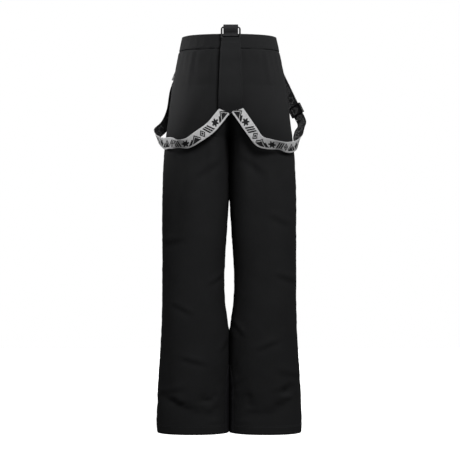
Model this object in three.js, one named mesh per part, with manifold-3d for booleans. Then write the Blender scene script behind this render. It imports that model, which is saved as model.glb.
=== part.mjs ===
// Ski pants with a detachable suspender set, in millimetres.
// +Z is up, +Y is the wearer's front and +X the wearer's right. The hems stand on Z = 0.
//
// Every fabric piece follows one outer surface, the `skin`. At a height z the skin of one half
// of the pants is a superellipse lobe: a whole loop round the leg below the crotch, and above
// it a loop cut off at the centre plane, so that the two halves meet in the centre seams.

import * as THREE from "three";
import { mergeVertices } from "three/addons/utils/BufferGeometryUtils.js";
import Module from "manifold-3d";

const wasm = await Module();
wasm.setup();

// ---------------------------------------------------------------- driving dimensions

const OUTSEAM = 1031; // hem to the top of the waistband
const CROTCH = 765; // height of the crotch point
const OVAL_FROM = 900; // above this height both halves share one oval
const BAND_BOTTOM = 993; // lower edge of the waistband
const FRONT_DIP = 20; // how much lower the waist is at the centre front
const DIP_FROM = 850; // height at which the front starts to dip
const ROUNDNESS = 2.3; // superellipse exponent of every section
const CLEFT_POWER = 1.6; // how quickly the lobes merge above the crotch

// Body measurements at a few heights: outer and inner half widths, and the y of back and front.
const STATIONS = [
  { z: 0, out: 189, inner: 2.4, back: -80, front: 74 },
  { z: 60, out: 191, inner: 2.4, back: -80, front: 75 },
  { z: 150, out: 188.5, inner: 2.4, back: -79, front: 77 },
  { z: 230, out: 183.5, inner: 2.4, back: -79, front: 79 },
  { z: 280, out: 181, inner: 3, back: -80, front: 81 },
  { z: 345, out: 179.5, inner: 11, back: -82, front: 84 },
  { z: 410, out: 179.5, inner: 12.4, back: -83, front: 88 },
  { z: 540, out: 179.5, inner: 4.8, back: -89, front: 91 },
  { z: 600, out: 179.5, inner: 1.4, back: -93, front: 93 },
  { z: 711, out: 175.5, inner: 1.2, back: -106, front: 97 },
  { z: CROTCH, out: 170, inner: 0.6, back: -114, front: 101 },
  { z: 816, out: 163, inner: 0, back: -121, front: 104 },
  { z: 868, out: 157, inner: 0, back: -122, front: 103 },
  { z: 921, out: 146.7, inner: 0, back: -117, front: 100 },
  { z: 973, out: 135, inner: 0, back: -108, front: 96.5 },
  { z: OUTSEAM, out: 122.5, inner: 0, back: -97, front: 92.5 },
];

const SHELL = 3; // thickness of shell fabric with its insulation
const GAP = 0.4; // clearance between neighbouring pieces
const BAND_PROUD = 1; // the waistband stands this far out of the shell
const BAND_THICK = 4.5;

const WEBBING = 30; // suspender webbing width
const WEBBING_THICK = 1.6;
const YOKE_X = 4; // the hanging yoke sits a little to the right
const YOKE_THICK = 2;

const BACK = Math.PI / 2; // section angles: 0 inner, then back, side, front
const SIDE = Math.PI;

// ---------------------------------------------------------------- small mathematics

const clamp01 = (t) => Math.min(1, Math.max(0, t));
const smooth = (t) => clamp01(t) ** 2 * (3 - 2 * clamp01(t));
const mix = (a, b, t) => a + (b - a) * t;
const signedPower = (v, p) => Math.sign(v) * Math.abs(v) ** p;
const vec = (x, y, z) => new THREE.Vector3(x, y, z);

// A smooth value between the stations: a Hermite curve through them.
function station(key, z) {
  const last = STATIONS.length - 1;
  const at = Math.min(Math.max(z, 0), OUTSEAM);
  let i = 0;
  while (i < last - 1 && STATIONS[i + 1].z < at) i++;
  const slope = (k) => {
    const a = STATIONS[Math.max(k - 1, 0)];
    const b = STATIONS[Math.min(k + 1, last)];
    return (b[key] - a[key]) / (b.z - a.z);
  };
  const a = STATIONS[i];
  const b = STATIONS[i + 1];
  const h = b.z - a.z;
  const t = (at - a.z) / h;
  return (
    a[key] * (1 + 2 * t) * (1 - t) ** 2 +
    b[key] * t * t * (3 - 2 * t) +
    slope(i) * h * t * (1 - t) ** 2 -
    slope(i + 1) * h * t * t * (1 - t)
  );
}

// ---------------------------------------------------------------- the skin

// Centre and half axes of one lobe at a height.
function lobe(z) {
  const out = station("out", z);
  const merge = clamp01((z - CROTCH) / (OVAL_FROM - CROTCH)) ** CLEFT_POWER;
  const inner = z > CROTCH ? -out * merge : station("inner", z);
  const middle = 0.5 * (station("back", z) + station("front", z));
  return { cx: (out + inner) / 2, ax: (out - inner) / 2, middle };
}

// The section angle at which a lobe crosses the plane x, on the back (or the front) half.
function angleAtX(z, x, onFront = false) {
  const { cx, ax } = lobe(z);
  const c = THREE.MathUtils.clamp((cx - x) / ax, -1, 1);
  const angle = Math.acos(signedPower(c, ROUNDNESS / 2));
  return onFront ? 2 * Math.PI - angle : angle;
}

function onSkin(side, angle, z) {
  const { cx, ax, middle } = lobe(z);
  const power = 2 / ROUNDNESS;
  const s = signedPower(Math.sin(angle), power);
  const reach = s > 0 ? middle - station("back", z) : station("front", z) - middle;
  const frontness = smooth((-Math.sin(angle) - 0.3) / 0.7);
  const dip = frontness * smooth((z - DIP_FROM) / (OUTSEAM - DIP_FROM));
  return vec(
    side * (cx - ax * signedPower(Math.cos(angle), power)),
    middle - reach * s,
    z - FRONT_DIP * dip,
  );
}

// A point `proud` millimetres outside the skin (inside it when negative).
function skin(side, angle, z, proud = 0) {
  const step = 0.01;
  const rise = 2;
  const along = onSkin(side, angle + step, z).sub(onSkin(side, angle - step, z));
  const up = onSkin(side, angle, z + rise).sub(onSkin(side, angle, z - rise));
  const normal = side > 0 ? along.cross(up) : up.cross(along);
  if (z < rise) normal.setZ(0); // the hem is cut level
  return onSkin(side, angle, z).addScaledVector(normal.normalize(), proud);
}

// The outward normal of the skin.
function skinNormal(side, angle, z) {
  return skin(side, angle, z, 1).sub(skin(side, angle, z, 0)).normalize();
}

// A point on the front of the skin, or on its back, straight in front of or behind an x.
function skinAtX(x, z, proud = 0, onFront = true) {
  return skin(x < 0 ? -1 : 1, angleAtX(z, Math.abs(x), onFront), z, proud);
}

// ---------------------------------------------------------------- solids

// A closed solid between two grids of points, outside(i, j) and inside(i, j).
// With `ring` the columns close on themselves and the solid is a tube.
function shellBetween(outside, inside, rows, columns, ring = false) {
  const grid = (columns + (ring ? 0 : 1)) * (rows + 1);
  const width = columns + (ring ? 0 : 1);
  const positions = [];
  for (const point of [outside, inside])
    for (let i = 0; i <= rows; i++)
      for (let j = 0; j < width; j++) positions.push(...point(i, j).toArray());
  const at = (layer, i, j) => layer * grid + i * width + (ring ? j % columns : j);
  const faces = [];
  const quad = (a, b, c, d) => faces.push(a, b, c, a, c, d);
  for (let i = 0; i < rows; i++)
    for (let j = 0; j < columns; j++) {
      quad(at(0, i, j), at(0, i, j + 1), at(0, i + 1, j + 1), at(0, i + 1, j));
      quad(at(1, i, j), at(1, i + 1, j), at(1, i + 1, j + 1), at(1, i, j + 1));
    }
  for (let j = 0; j < columns; j++) {
    quad(at(0, 0, j), at(1, 0, j), at(1, 0, j + 1), at(0, 0, j + 1));
    quad(at(0, rows, j + 1), at(1, rows, j + 1), at(1, rows, j), at(0, rows, j));
  }
  if (!ring)
    for (let i = 0; i < rows; i++) {
      quad(at(0, i + 1, 0), at(1, i + 1, 0), at(1, i, 0), at(0, i, 0));
      quad(at(0, i, columns), at(1, i, columns), at(1, i + 1, columns), at(0, i + 1, columns));
    }
  const geometry = new THREE.BufferGeometry();
  geometry.setAttribute("position", new THREE.Float32BufferAttribute(positions, 3));
  geometry.setIndex(faces);
  return facingOut(geometry);
}

// The same geometry with its faces turned so that its volume is positive.
function facingOut(geometry) {
  const p = geometry.getAttribute("position");
  const index = geometry.getIndex();
  const [a, b, c] = [vec(), vec(), vec()];
  let volume = 0;
  for (let i = 0; i < index.count; i += 3) {
    a.fromBufferAttribute(p, index.getX(i));
    b.fromBufferAttribute(p, index.getX(i + 1));
    c.fromBufferAttribute(p, index.getX(i + 2));
    volume += a.dot(b.cross(c));
  }
  if (volume < 0)
    for (let i = 0; i < index.count; i += 3) {
      const second = index.getX(i + 1);
      index.setX(i + 1, index.getX(i + 2));
      index.setX(i + 2, second);
    }
  geometry.computeVertexNormals();
  return geometry;
}

// A piece of fabric on the skin: rows of heights, each from one angle to another.
function fabric(side, heights, fromAngle, toAngle, columns, proud, thick) {
  const point = (offset) => (i, j) => {
    const z = heights[i];
    return skin(side, mix(fromAngle(z), toAngle(z), j / columns), z, offset);
  };
  return shellBetween(point(proud), point(proud - thick), heights.length - 1, columns);
}

// Fabric across the centre front, from one x to another.
function frontFabric(heights, fromX, toX, columns, proud, thick) {
  const point = (offset) => (i, j) => skinAtX(mix(fromX, toX, j / columns), heights[i], offset);
  return shellBetween(point(proud), point(proud - thick), heights.length - 1, columns);
}

// A strip that follows points, each with a centre, a width direction and a half width.
function strip(stations, thick) {
  const frames = stations.map((s, i) => {
    const before = stations[Math.max(i - 1, 0)].at;
    const after = stations[Math.min(i + 1, stations.length - 1)].at;
    const across = s.across.clone().normalize();
    const normal = after.clone().sub(before).cross(across).normalize();
    return { ...s, across, normal };
  });
  const point = (offset) => (i, j) => {
    const f = frames[i];
    const edge = j === 0 ? -f.half : f.half;
    return f.at.clone().addScaledVector(f.across, edge).addScaledVector(f.normal, offset);
  };
  return shellBetween(point(thick / 2), point(-thick / 2), stations.length - 1, 1);
}

// Points along a smooth curve through hand-set stations.
function curved(stations, steps) {
  const at = new THREE.CatmullRomCurve3(stations.map((s) => s.at), false, "centripetal");
  const across = new THREE.CatmullRomCurve3(stations.map((s) => s.across), false, "centripetal");
  const spots = [];
  for (let k = 0; k <= steps; k++) {
    const t = k / steps;
    spots.push({ at: at.getPoint(t), across: across.getPoint(t), half: WEBBING / 2 });
  }
  return spots;
}

// A plate from a shape with holes, centred on its thickness, with softened edges.
function plate(shape, thick, bevel = 0.5) {
  const geometry = new THREE.ExtrudeGeometry(shape, {
    depth: thick - 2 * bevel,
    bevelEnabled: bevel > 0,
    bevelThickness: bevel,
    bevelSize: bevel,
    bevelOffset: -bevel,
    bevelSegments: 1,
    curveSegments: 3,
  });
  return geometry.translate(0, 0, bevel - thick / 2);
}

function roundedRectangle(path, width, height, radius, x = 0, y = 0) {
  const w = width / 2;
  const h = height / 2;
  path.moveTo(x - w + radius, y - h);
  path.lineTo(x + w - radius, y - h);
  path.absarc(x + w - radius, y - h + radius, radius, -Math.PI / 2, 0);
  path.lineTo(x + w, y + h - radius);
  path.absarc(x + w - radius, y + h - radius, radius, 0, Math.PI / 2);
  path.lineTo(x - w + radius, y + h);
  path.absarc(x - w + radius, y + h - radius, radius, Math.PI / 2, Math.PI);
  path.lineTo(x - w, y - h + radius);
  path.absarc(x - w + radius, y - h + radius, radius, Math.PI, 1.5 * Math.PI);
  return path;
}

function solid(geometry) {
  const bare = new THREE.BufferGeometry();
  const source = geometry.index ? geometry.toNonIndexed() : geometry;
  bare.setAttribute("position", source.getAttribute("position"));
  const merged = mergeVertices(bare, 1e-3);
  return new wasm.Manifold(
    new wasm.Mesh({
      numProp: 3,
      vertProperties: new Float32Array(merged.getAttribute("position").array),
      triVerts: new Uint32Array(merged.getIndex().array),
    }),
  );
}

function geometryOf(manifold) {
  const mesh = manifold.getMesh();
  const geometry = new THREE.BufferGeometry();
  geometry.setAttribute("position", new THREE.Float32BufferAttribute(mesh.vertProperties, 3));
  geometry.setIndex([...mesh.triVerts]);
  geometry.computeVertexNormals();
  return geometry;
}

const joined = (...geometries) => geometryOf(geometries.map(solid).reduce((a, b) => a.add(b)));

// The rotation whose x, y and z axes are these directions.
function facing(xAxis, yAxis) {
  const z = xAxis.clone().cross(yAxis).normalize();
  const y = z.clone().cross(xAxis).normalize();
  return new THREE.Matrix4().makeBasis(xAxis.clone().normalize(), y, z);
}

// ---------------------------------------------------------------- materials and assembly

const material = (color, roughness, metalness = 0) =>
  new THREE.MeshStandardMaterial({ color, roughness, metalness });
const SHELL_FABRIC = material(0x202124, 0.85);
const BAND_FABRIC = material(0x222326, 0.85);
const LINING_FABRIC = material(0x3a3c40, 0.6);
const FLEECE = material(0x2a2b2e, 1);
const PATCH_FABRIC = material(0x161719, 0.7);
const ELASTIC = material(0x1b1b1d, 0.9);
const TAPE = material(0x1c1d1f, 0.8);
const GREY_WEBBING = material(0xa8a8a8, 0.75);
const BLACK_PLASTIC = material(0x0c0c0d, 0.35);
const DARK_METAL = material(0x2b2c2e, 0.35, 0.9);
const LABEL = material(0x8f9194, 0.8);

const pants = new THREE.Group();

function add(name, geometry, look, parent = pants) {
  const mesh = new THREE.Mesh(geometry, look);
  mesh.name = name;
  parent.add(mesh);
  return mesh;
}

const SIDES = [
  { name: "left", side: -1 },
  { name: "right", side: 1 },
];

// ---------------------------------------------------------------- shell panels

const FLY_BOTTOM = 850;
const FLY_HALF = 7; // half width of the opening that the fly zip closes
const EDGE = 0.0008; // angle that leaves half a seam gap at the side
const INSEAM_EDGE = 0.0024; // and the same at the inseam

const PANEL_HEIGHTS = [
  ...[0, 60, 150, 230, 280, 345, 410, 475, 540, 600, 660, 711, 745, CROTCH],
  ...[768, 774, 784, 800, 822, 849, 851, 900, 947, BAND_BOTTOM - GAP],
];
const PANEL_COLUMNS = 12;

const seamAtBack = (z) => (z > CROTCH ? angleAtX(z, GAP / 2) : INSEAM_EDGE);
const seamAtFront = (z) => {
  if (z > FLY_BOTTOM) return angleAtX(z, FLY_HALF, true);
  return z > CROTCH ? angleAtX(z, GAP / 2, true) : 2 * Math.PI - INSEAM_EDGE;
};

for (const { name, side } of SIDES) {
  const panel = (from, to) => fabric(side, PANEL_HEIGHTS, from, to, PANEL_COLUMNS, 0, SHELL);
  add(`back_panel_${name}`, panel(seamAtBack, () => SIDE - EDGE), SHELL_FABRIC);
  add(`front_panel_${name}`, panel(() => SIDE + EDGE, seamAtFront), SHELL_FABRIC);
}

// ---------------------------------------------------------------- lining, gaiters, hem guards

const LINING_DEPTH = 8; // the lining hangs this far inside the skin
const LINING_THICK = 1;
const LINING_HEIGHTS = [36, 150, 280, 410, 540, 660, 745, CROTCH + 2, 790, 822, 845, 855, 900, 980];
const LINING_COLUMNS = 20;
const LINING_EDGE = { angle: 0.06, centre: 6, fly: 36 }; // it stops this far from the seams and the fly
const liningBack = (z) => (z > CROTCH ? angleAtX(z, LINING_EDGE.centre) : LINING_EDGE.angle);
const liningFront = (z) => {
  if (z > FLY_BOTTOM) return angleAtX(z, LINING_EDGE.fly, true);
  return z > CROTCH ? angleAtX(z, LINING_EDGE.centre, true) : 2 * Math.PI - LINING_EDGE.angle;
};
for (const { name, side } of SIDES) {
  const geometry = fabric(
    side,
    LINING_HEIGHTS,
    liningBack,
    liningFront,
    LINING_COLUMNS,
    -LINING_DEPTH,
    LINING_THICK,
  );
  add(`lining_${name}`, geometry, LINING_FABRIC);
}

const GAITER_TOP = 215;
const GAITER_BOTTOM = 44;
const GAITER_DEPTH = 12; // how far inside the skin the gaiter starts
const GAITER_THICK = 1.2;
const GRIPPER_BOTTOM = 24;
const GRIPPER = { outside: 1.8, inside: -0.4 }; // its faces, measured from the cuff
const CUFF = { x: 63, y: 60 }; // half axes of the gaiter's elastic cuff
const CUFF_CENTRE = { x: 96, y: -2 };
const CUFF_COLUMNS = 24;

function cuffPoint(side, angle, z, grow) {
  const c = Math.cos(angle);
  const s = Math.sin(angle);
  return vec(side * (CUFF_CENTRE.x - (CUFF.x + grow) * c), CUFF_CENTRE.y - (CUFF.y + grow) * s, z);
}

for (const { name, side } of SIDES) {
  const rows = 5;
  const turn = (j) => (2 * Math.PI * j) / CUFF_COLUMNS;
  const gaiter = (offset) => (i, j) => {
    const angle = turn(j);
    const low = cuffPoint(side, angle, GAITER_BOTTOM, offset);
    const high = skin(side, angle, GAITER_TOP, offset - GAITER_DEPTH);
    const t = i / rows;
    return low.lerp(high, smooth(t)).setZ(mix(GAITER_BOTTOM, GAITER_TOP, t));
  };
  const cloth = shellBetween(gaiter(GAITER_THICK), gaiter(0), rows, CUFF_COLUMNS, true);
  add(`gaiter_${name}`, cloth, LINING_FABRIC);
  const gripper = (offset) => (i, j) =>
    cuffPoint(side, turn(j), mix(GRIPPER_BOTTOM, GAITER_BOTTOM - GAP, i), offset);
  const elastic = shellBetween(gripper(GRIPPER.outside), gripper(GRIPPER.inside), 1, CUFF_COLUMNS, true);
  add(`gaiter_gripper_${name}`, elastic, ELASTIC);
}

const GUARD_HEIGHTS = [3, 60, 120, 175];
const GUARD_REACH = 0.5; // half angle that a hem guard covers on the inner ankle
const GUARD_PROUD = 1.4;
const GUARD_THICK = 1;
for (const { name, side } of SIDES) {
  const from = () => -GUARD_REACH;
  const to = () => GUARD_REACH;
  const geometry = fabric(side, GUARD_HEIGHTS, from, to, 10, GUARD_PROUD, GUARD_THICK);
  add(`hem_guard_${name}`, geometry, PATCH_FABRIC);
}

// ---------------------------------------------------------------- waistband

const BAND_HEIGHTS = [BAND_BOTTOM, 1010, OUTSEAM];
const OVERLAP_ROOT = 27; // the waist tab and fly flap hinge this far left of the centre
const TAB_REACH = 31; // and the tab ends this far right of it
const FLAP_REACH = 21;

// The band lies where both halves share one oval, so an angle may run on past the centre.
const bandAngleAtX = (x) => (z) => angleAtX(z, x, true);
function band(fromAngle, toAngle, columns, side = 1) {
  return fabric(side, BAND_HEIGHTS, fromAngle, toAngle, columns, BAND_PROUD, BAND_THICK);
}
const sideEdge = () => SIDE + EDGE;
const LEFT_END = OVERLAP_ROOT - 4; // where the left front band ends, left of the centre
const RIGHT_END = 5 - OVERLAP_ROOT; // the right one runs on past the centre, under the tab
add("waistband_back", band(() => EDGE, () => SIDE - EDGE, 24), BAND_FABRIC);
add("waistband_front_left", band(sideEdge, bandAngleAtX(LEFT_END), 10, -1), BAND_FABRIC);
add("waistband_front_right", band(sideEdge, bandAngleAtX(RIGHT_END), 13), BAND_FABRIC);

// The soft facing inside the waistband, open at the fly.
const FACING_HEIGHTS = [986, 1005, 1026];
const FACING_DEPTH = 3.9;
const FACING_THICK = 1.4;
const FACING_COLUMNS = 36;
const facingEnd = bandAngleAtX(OVERLAP_ROOT + 6);
const facingStart = (z) => Math.PI - facingEnd(z);
add(
  "waistband_facing",
  fabric(1, FACING_HEIGHTS, facingStart, facingEnd, FACING_COLUMNS, -FACING_DEPTH, FACING_THICK),
  FLEECE,
);

// A blank care label below the facing, at the back left.
const CARE = { from: -52, to: -20, heights: [972, 984], outside: -5.7, inside: -6.3, columns: 3 };
const labelPoint = (offset) => (i, j) =>
  skinAtX(mix(CARE.from, CARE.to, j / CARE.columns), CARE.heights[i], offset, false);
const labelGeometry = shellBetween(labelPoint(CARE.outside), labelPoint(CARE.inside), 1, CARE.columns);
add("care_label", labelGeometry, LABEL);

// Hanger loops: folded ribbons that hang inside the waistband at the side seams.
const HANGER = { top: 1006, inside: -6.4, width: 10, thick: 0.9 };
// The folded ribbon from one end to the other: millimetres inwards and up from its top.
const HANGER_PATH = [
  ...[[0, 0], [0, -18], [0.6, -38], [1.6, -52], [4.2, -58]],
  ...[[6.8, -52], [5.8, -38], [3.2, -18], [1.9, 0]],
];
for (const { name, side } of SIDES) {
  const top = skin(side, SIDE, HANGER.top, HANGER.inside);
  const stations = HANGER_PATH.map(([inward, up]) => ({
    at: vec(top.x - side * inward, top.y, top.z + up),
    across: vec(0, 1, 0),
    half: HANGER.width / 2,
  }));
  add(`hanger_loop_${name}`, strip(stations, HANGER.thick), TAPE);
}

// Belt loops on the front of the waistband.
const LOOP = { x: 60, half: 5, thick: 1.4 };
// Heights along the loop, each with how far its middle stands out of the skin.
const LOOP_PATH = [[981, 1.6], [988, 2.4], [1000, 3.4], [1014, 3.4], [1026, 3.0], [1030, 2.6]];
for (const { name, side } of SIDES) {
  const point = (offset) => (i, j) => {
    const [height, lift] = LOOP_PATH[i];
    return skinAtX(side * mix(LOOP.x - LOOP.half, LOOP.x + LOOP.half, j), height, lift + offset);
  };
  const geometry = shellBetween(point(LOOP.thick / 2), point(-LOOP.thick / 2), LOOP_PATH.length - 1, 1);
  add(`belt_loop_${name}`, geometry, BAND_FABRIC);
}

// ---------------------------------------------------------------- fly

const FLY_THICK = 1.6; // of the underlap and of the zip tapes
const UNDERLAP = { bottom: FLY_BOTTOM - 4, half: 23, proud: -6.2, columns: 6 };
const underlapHeights = [UNDERLAP.bottom, 900, 950, BAND_BOTTOM - GAP];
const { half: lap, columns: lapColumns } = UNDERLAP;
add(
  "fly_underlap",
  frontFabric(underlapHeights, -lap, lap, lapColumns, UNDERLAP.proud, FLY_THICK),
  LINING_FABRIC,
);

// Zip tapes fill the opening; their inner edges carry half of the teeth each.
const ZIP = { inner: 0.3, outer: 13, proud: -4, columns: 2 };
const zipHeights = [FLY_BOTTOM + 2, 900, 950, BAND_BOTTOM - 1.5];
const zipTape = (from, to) => frontFabric(zipHeights, from, to, ZIP.columns, ZIP.proud, FLY_THICK);
add("fly_zip_left", zipTape(-ZIP.outer, -ZIP.inner), TAPE);
add("fly_zip_right", zipTape(ZIP.inner, ZIP.outer), TAPE);

// A frame on the skin at the centre front: x to the wearer's left, y up along the fly.
const FLY_TRAVEL = { top: BAND_BOTTOM - 9, bottom: 876 };
const flyUp = skinAtX(0, FLY_TRAVEL.top).sub(skinAtX(0, FLY_TRAVEL.bottom)).normalize();
const flyOut = flyUp.clone().cross(vec(1, 0, 0)).normalize();
const flyFrame = facing(vec(-1, 0, 0), flyUp);

function placed(geometry, frame, at) {
  return geometry.clone().applyMatrix4(new THREE.Matrix4().setPosition(at).multiply(frame));
}

const SLIDER = { width: 8.4, length: 11, radius: 2, thick: 2.6, bevel: 0.5, depth: 1.8 };
const flySliderAt = skinAtX(0, FLY_TRAVEL.top);
const sliderShape = roundedRectangle(new THREE.Shape(), SLIDER.width, SLIDER.length, SLIDER.radius);
add(
  "fly_slider",
  placed(
    plate(sliderShape, SLIDER.thick, SLIDER.bevel),
    flyFrame,
    flySliderAt.clone().addScaledVector(flyOut, -SLIDER.depth),
  ),
  DARK_METAL,
);

// A flat pull that hangs over the slider, with a slot in its upper half.
const FLY_PULL = { width: 5, length: 18, radius: 1.6, thick: 1, bevel: 0.2, out: 0.15, drop: 7 };
const PULL_SLOT = { width: 2.4, length: 6, radius: 1, up: 4 };
const flyPullShape = roundedRectangle(new THREE.Shape(), FLY_PULL.width, FLY_PULL.length, FLY_PULL.radius);
flyPullShape.holes.push(
  roundedRectangle(new THREE.Path(), PULL_SLOT.width, PULL_SLOT.length, PULL_SLOT.radius, 0, PULL_SLOT.up),
);
const flyPullAt = flySliderAt
  .clone()
  .addScaledVector(flyOut, FLY_PULL.out)
  .addScaledVector(flyUp, -FLY_PULL.drop);
add("fly_pull", placed(plate(flyPullShape, FLY_PULL.thick, FLY_PULL.bevel), flyFrame, flyPullAt), DARK_METAL);

const FLAP_PROUD = 4.6;
const FLAP_THICK = 2.6;
const flapHeights = [UNDERLAP.bottom, 864, 882, 900, 925, 950, BAND_BOTTOM - 1];
const flap = frontFabric(flapHeights, -OVERLAP_ROOT, FLAP_REACH, 6, FLAP_PROUD, FLAP_THICK);
add("fly_flap", flap, SHELL_FABRIC);
const tabHeights = [BAND_BOTTOM + 0.5, 1010, OUTSEAM];
const waistTab = frontFabric(tabHeights, -OVERLAP_ROOT, TAB_REACH, 7, FLAP_PROUD + GAP, FLAP_THICK);
add("waist_tab", waistTab, BAND_FABRIC);

// Press snaps: a cap and socket on the tab, a stud and post on the band beneath.
const SNAP_X = 15;
const SNAP_HEIGHTS = { upper: 1020.5, lower: 1003 };
const SNAP_STEPS = 20;
// Half outlines as radius and height over the skin.
const CAP_OUTLINE = [[0, 5.1], [6.2, 5.1], [6.2, 5.6], [5.2, 6.4], [3.8, 6.0], [2.6, 6.7], [0, 6.9]];
const STUD_OUTLINE = [[0, 1.25], [3.8, 1.25], [3.8, 1.6], [0, 1.6]];
for (const [name, z] of Object.entries(SNAP_HEIGHTS)) {
  const angle = angleAtX(z, SNAP_X, true);
  const out = skinNormal(1, angle, z);
  const turn = new THREE.Quaternion().setFromUnitVectors(vec(0, 1, 0), out);
  const base = skin(1, angle, z, 0);
  const lathe = (points) => {
    const profile = points.map(([r, h]) => new THREE.Vector2(r, h));
    return new THREE.LatheGeometry(profile, SNAP_STEPS).applyQuaternion(turn).translate(...base.toArray());
  };
  add(`snap_cap_${name}`, lathe(CAP_OUTLINE), DARK_METAL);
  add(`snap_stud_${name}`, lathe(STUD_OUTLINE), DARK_METAL);
}

// ---------------------------------------------------------------- hand pockets

const POCKET = { topX: 84, topZ: 958, bottomX: 108, bottomZ: 838 };
const POCKET_STRIP = { half: 8, face: 2, lift: 0.7, rows: 6, columns: 2 }; // the zip with its two tapes
const POCKET_SLIDER = { thick: 3.2, bevel: 0.6, drop: 10, out: 3.9 };
const PULL = { width: 6, length: 30, radius: 2, thick: 1.6, bevel: 0.3, out: 2.7 };
const PULL_HOLE = { width: 3, length: 7, radius: 1.2, fromEnd: 6 };
const PULL_AXIS = 3; // the pull turns this far above the middle of its slider
const BAG = { from: 1.13 * Math.PI, to: 1.36 * Math.PI, bottom: 780, top: 955, rows: 5, columns: 6 };
const BAG_FACES = { outside: -4.4, inside: -6.8 };

// The line of a pocket's zip and the directions across, up and out from it.
function pocketFrame(side) {
  const high = skinAtX(side * POCKET.topX, POCKET.topZ);
  const low = skinAtX(side * POCKET.bottomX, POCKET.bottomZ);
  const up = high.clone().sub(low).normalize();
  const z = (POCKET.topZ + POCKET.bottomZ) / 2;
  const middle = angleAtX(z, (POCKET.topX + POCKET.bottomX) / 2, true);
  const across = up.clone().cross(skinNormal(side, middle, z)).normalize();
  const out = across.clone().cross(up).normalize();
  return { high, low, up, across, out };
}

// The strip's outer face is straight, so that the slider can run along it.
function pocketStrip(side, { high, low, across, out }) {
  const { half, face, lift, rows, columns } = POCKET_STRIP;
  const edge = (j) => mix(-half, half, j / columns);
  const faceOut = (i, j) =>
    low.clone().lerp(high, i / rows).addScaledVector(across, edge(j)).addScaledVector(out, face);
  const faceIn = (i, j) => {
    const x = mix(POCKET.bottomX, POCKET.topX, i / rows) + side * across.x * edge(j);
    return skinAtX(side * x, mix(POCKET.bottomZ, POCKET.topZ, i / rows), lift);
  };
  return shellBetween(faceOut, faceIn, rows, columns);
}

function pullGeometry() {
  const { width, length, radius, fromEnd } = PULL_HOLE;
  const shape = roundedRectangle(new THREE.Shape(), PULL.width, PULL.length, PULL.radius);
  shape.holes.push(roundedRectangle(new THREE.Path(), width, length, radius, 0, PULL.length / 2 - fromEnd));
  return plate(shape, PULL.thick, PULL.bevel);
}

// A pocket bag hangs between shell and lining, from the zip towards the side.
function pocketBag(side) {
  const { from, to, bottom, top, rows, columns } = BAG;
  const point = (offset) => (i, j) =>
    skin(side, mix(from, to, j / columns), mix(bottom, top, i / rows), offset);
  return shellBetween(point(BAG_FACES.outside), point(BAG_FACES.inside), rows, columns);
}

for (const { name, side } of SIDES) {
  const frame = pocketFrame(side);
  const { high, up, across, out } = frame;
  const turn = new THREE.Matrix4().makeBasis(across, up, out);
  add(`pocket_zip_${name}`, pocketStrip(side, frame), TAPE);

  const { drop, out: proud } = POCKET_SLIDER;
  const sliderAt = high.clone().addScaledVector(up, -drop).addScaledVector(out, proud);
  const slider = plate(sliderShape, POCKET_SLIDER.thick, POCKET_SLIDER.bevel);
  add(`pocket_slider_${name}`, placed(slider, turn, sliderAt), DARK_METAL);
  const pullMiddle = PULL_AXIS + PULL.thick / 2 - PULL.length / 2;
  const pullAt = sliderAt.clone().addScaledVector(out, PULL.out).addScaledVector(up, pullMiddle);
  add(`pocket_pull_${name}`, placed(pullGeometry(), turn, pullAt), BLACK_PLASTIC);
  add(`pocket_bag_${name}`, pocketBag(side), LINING_FABRIC);
}

// ---------------------------------------------------------------- suspender rings and tabs

const RING = { height: 35, thick: 4, bar: 4, side: 4.6, radius: 8, corner: 1.5, bevel: 0.8, play: 4.2 };
const BAR_REACH = RING.height / 2 - RING.bar / 2; // ring's centre to the middle of a bar
const WRAP = 3.7; // radius of webbing wrapped round a bar
const RING_LEAN = 0.2;
const RING_LIFT = 0.6; // the ring's centre is this far above the top of the band
const TAB_WEBBING = 38;

function ringGeometry(webbing) {
  const opening = webbing + RING.play;
  const outline = roundedRectangle(new THREE.Shape(), opening + 2 * RING.side, RING.height, RING.radius);
  outline.holes.push(roundedRectangle(new THREE.Path(), opening, RING.height - 2 * RING.bar, RING.corner));
  return plate(outline, RING.thick, RING.bevel);
}

// A place where a ring hangs: the top edge of the band, with directions across, up and out.
// `at(a, u, o)` is a point that many millimetres across, up and out from there.
function place(top, up, outward) {
  const u = up.clone().normalize();
  const across = u.clone().cross(outward).normalize();
  const out = across.clone().cross(u).normalize();
  const at = (a, h, o) =>
    top.clone().addScaledVector(across, a).addScaledVector(u, h).addScaledVector(out, o);
  return { across, up: u, out, at };
}

// The arc of webbing round a bar, from angle to angle in the plane of `out` (0) and `up`.
// Its top clears the bar's middle by `rise`.
function arcRound(spot, bar, from, to, half, rise = WRAP) {
  const steps = 6;
  return Array.from({ length: steps + 1 }, (_, k) => {
    const a = mix(from, to, k / steps);
    const at = spot.at(0, bar.up + rise * Math.sin(a), bar.out + WRAP * Math.cos(a));
    return { at, across: spot.across, half };
  });
}

// A tab rises inside the band, folds loosely over the ring's upper bar and hangs down in the
// ring, drawn in a little below the fold.
const TAB = { root: -27, rootSlant: 1.6, bend: -6, top: 2, rise: 6.4 };
// Its front layer: how far down from the bar, and how far in from the front of the fold.
const TAB_FRONT = [[3, 0], [14.5, 4.2], [23, 3.6]];
function tabGeometry(spot, bar, depth, half) {
  const stop = (h, o) => ({ at: spot.at(0, h, o), across: spot.across, half });
  return strip(
    [
      stop(TAB.root, -depth - TAB.rootSlant),
      stop(TAB.bend, -depth),
      stop(TAB.top, -depth),
      ...arcRound(spot, bar, Math.PI, 0, half, TAB.rise),
      ...TAB_FRONT.map(([down, inward]) => stop(bar.up - down, bar.out + WRAP - inward)),
    ],
    WEBBING_THICK,
  );
}

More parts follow.
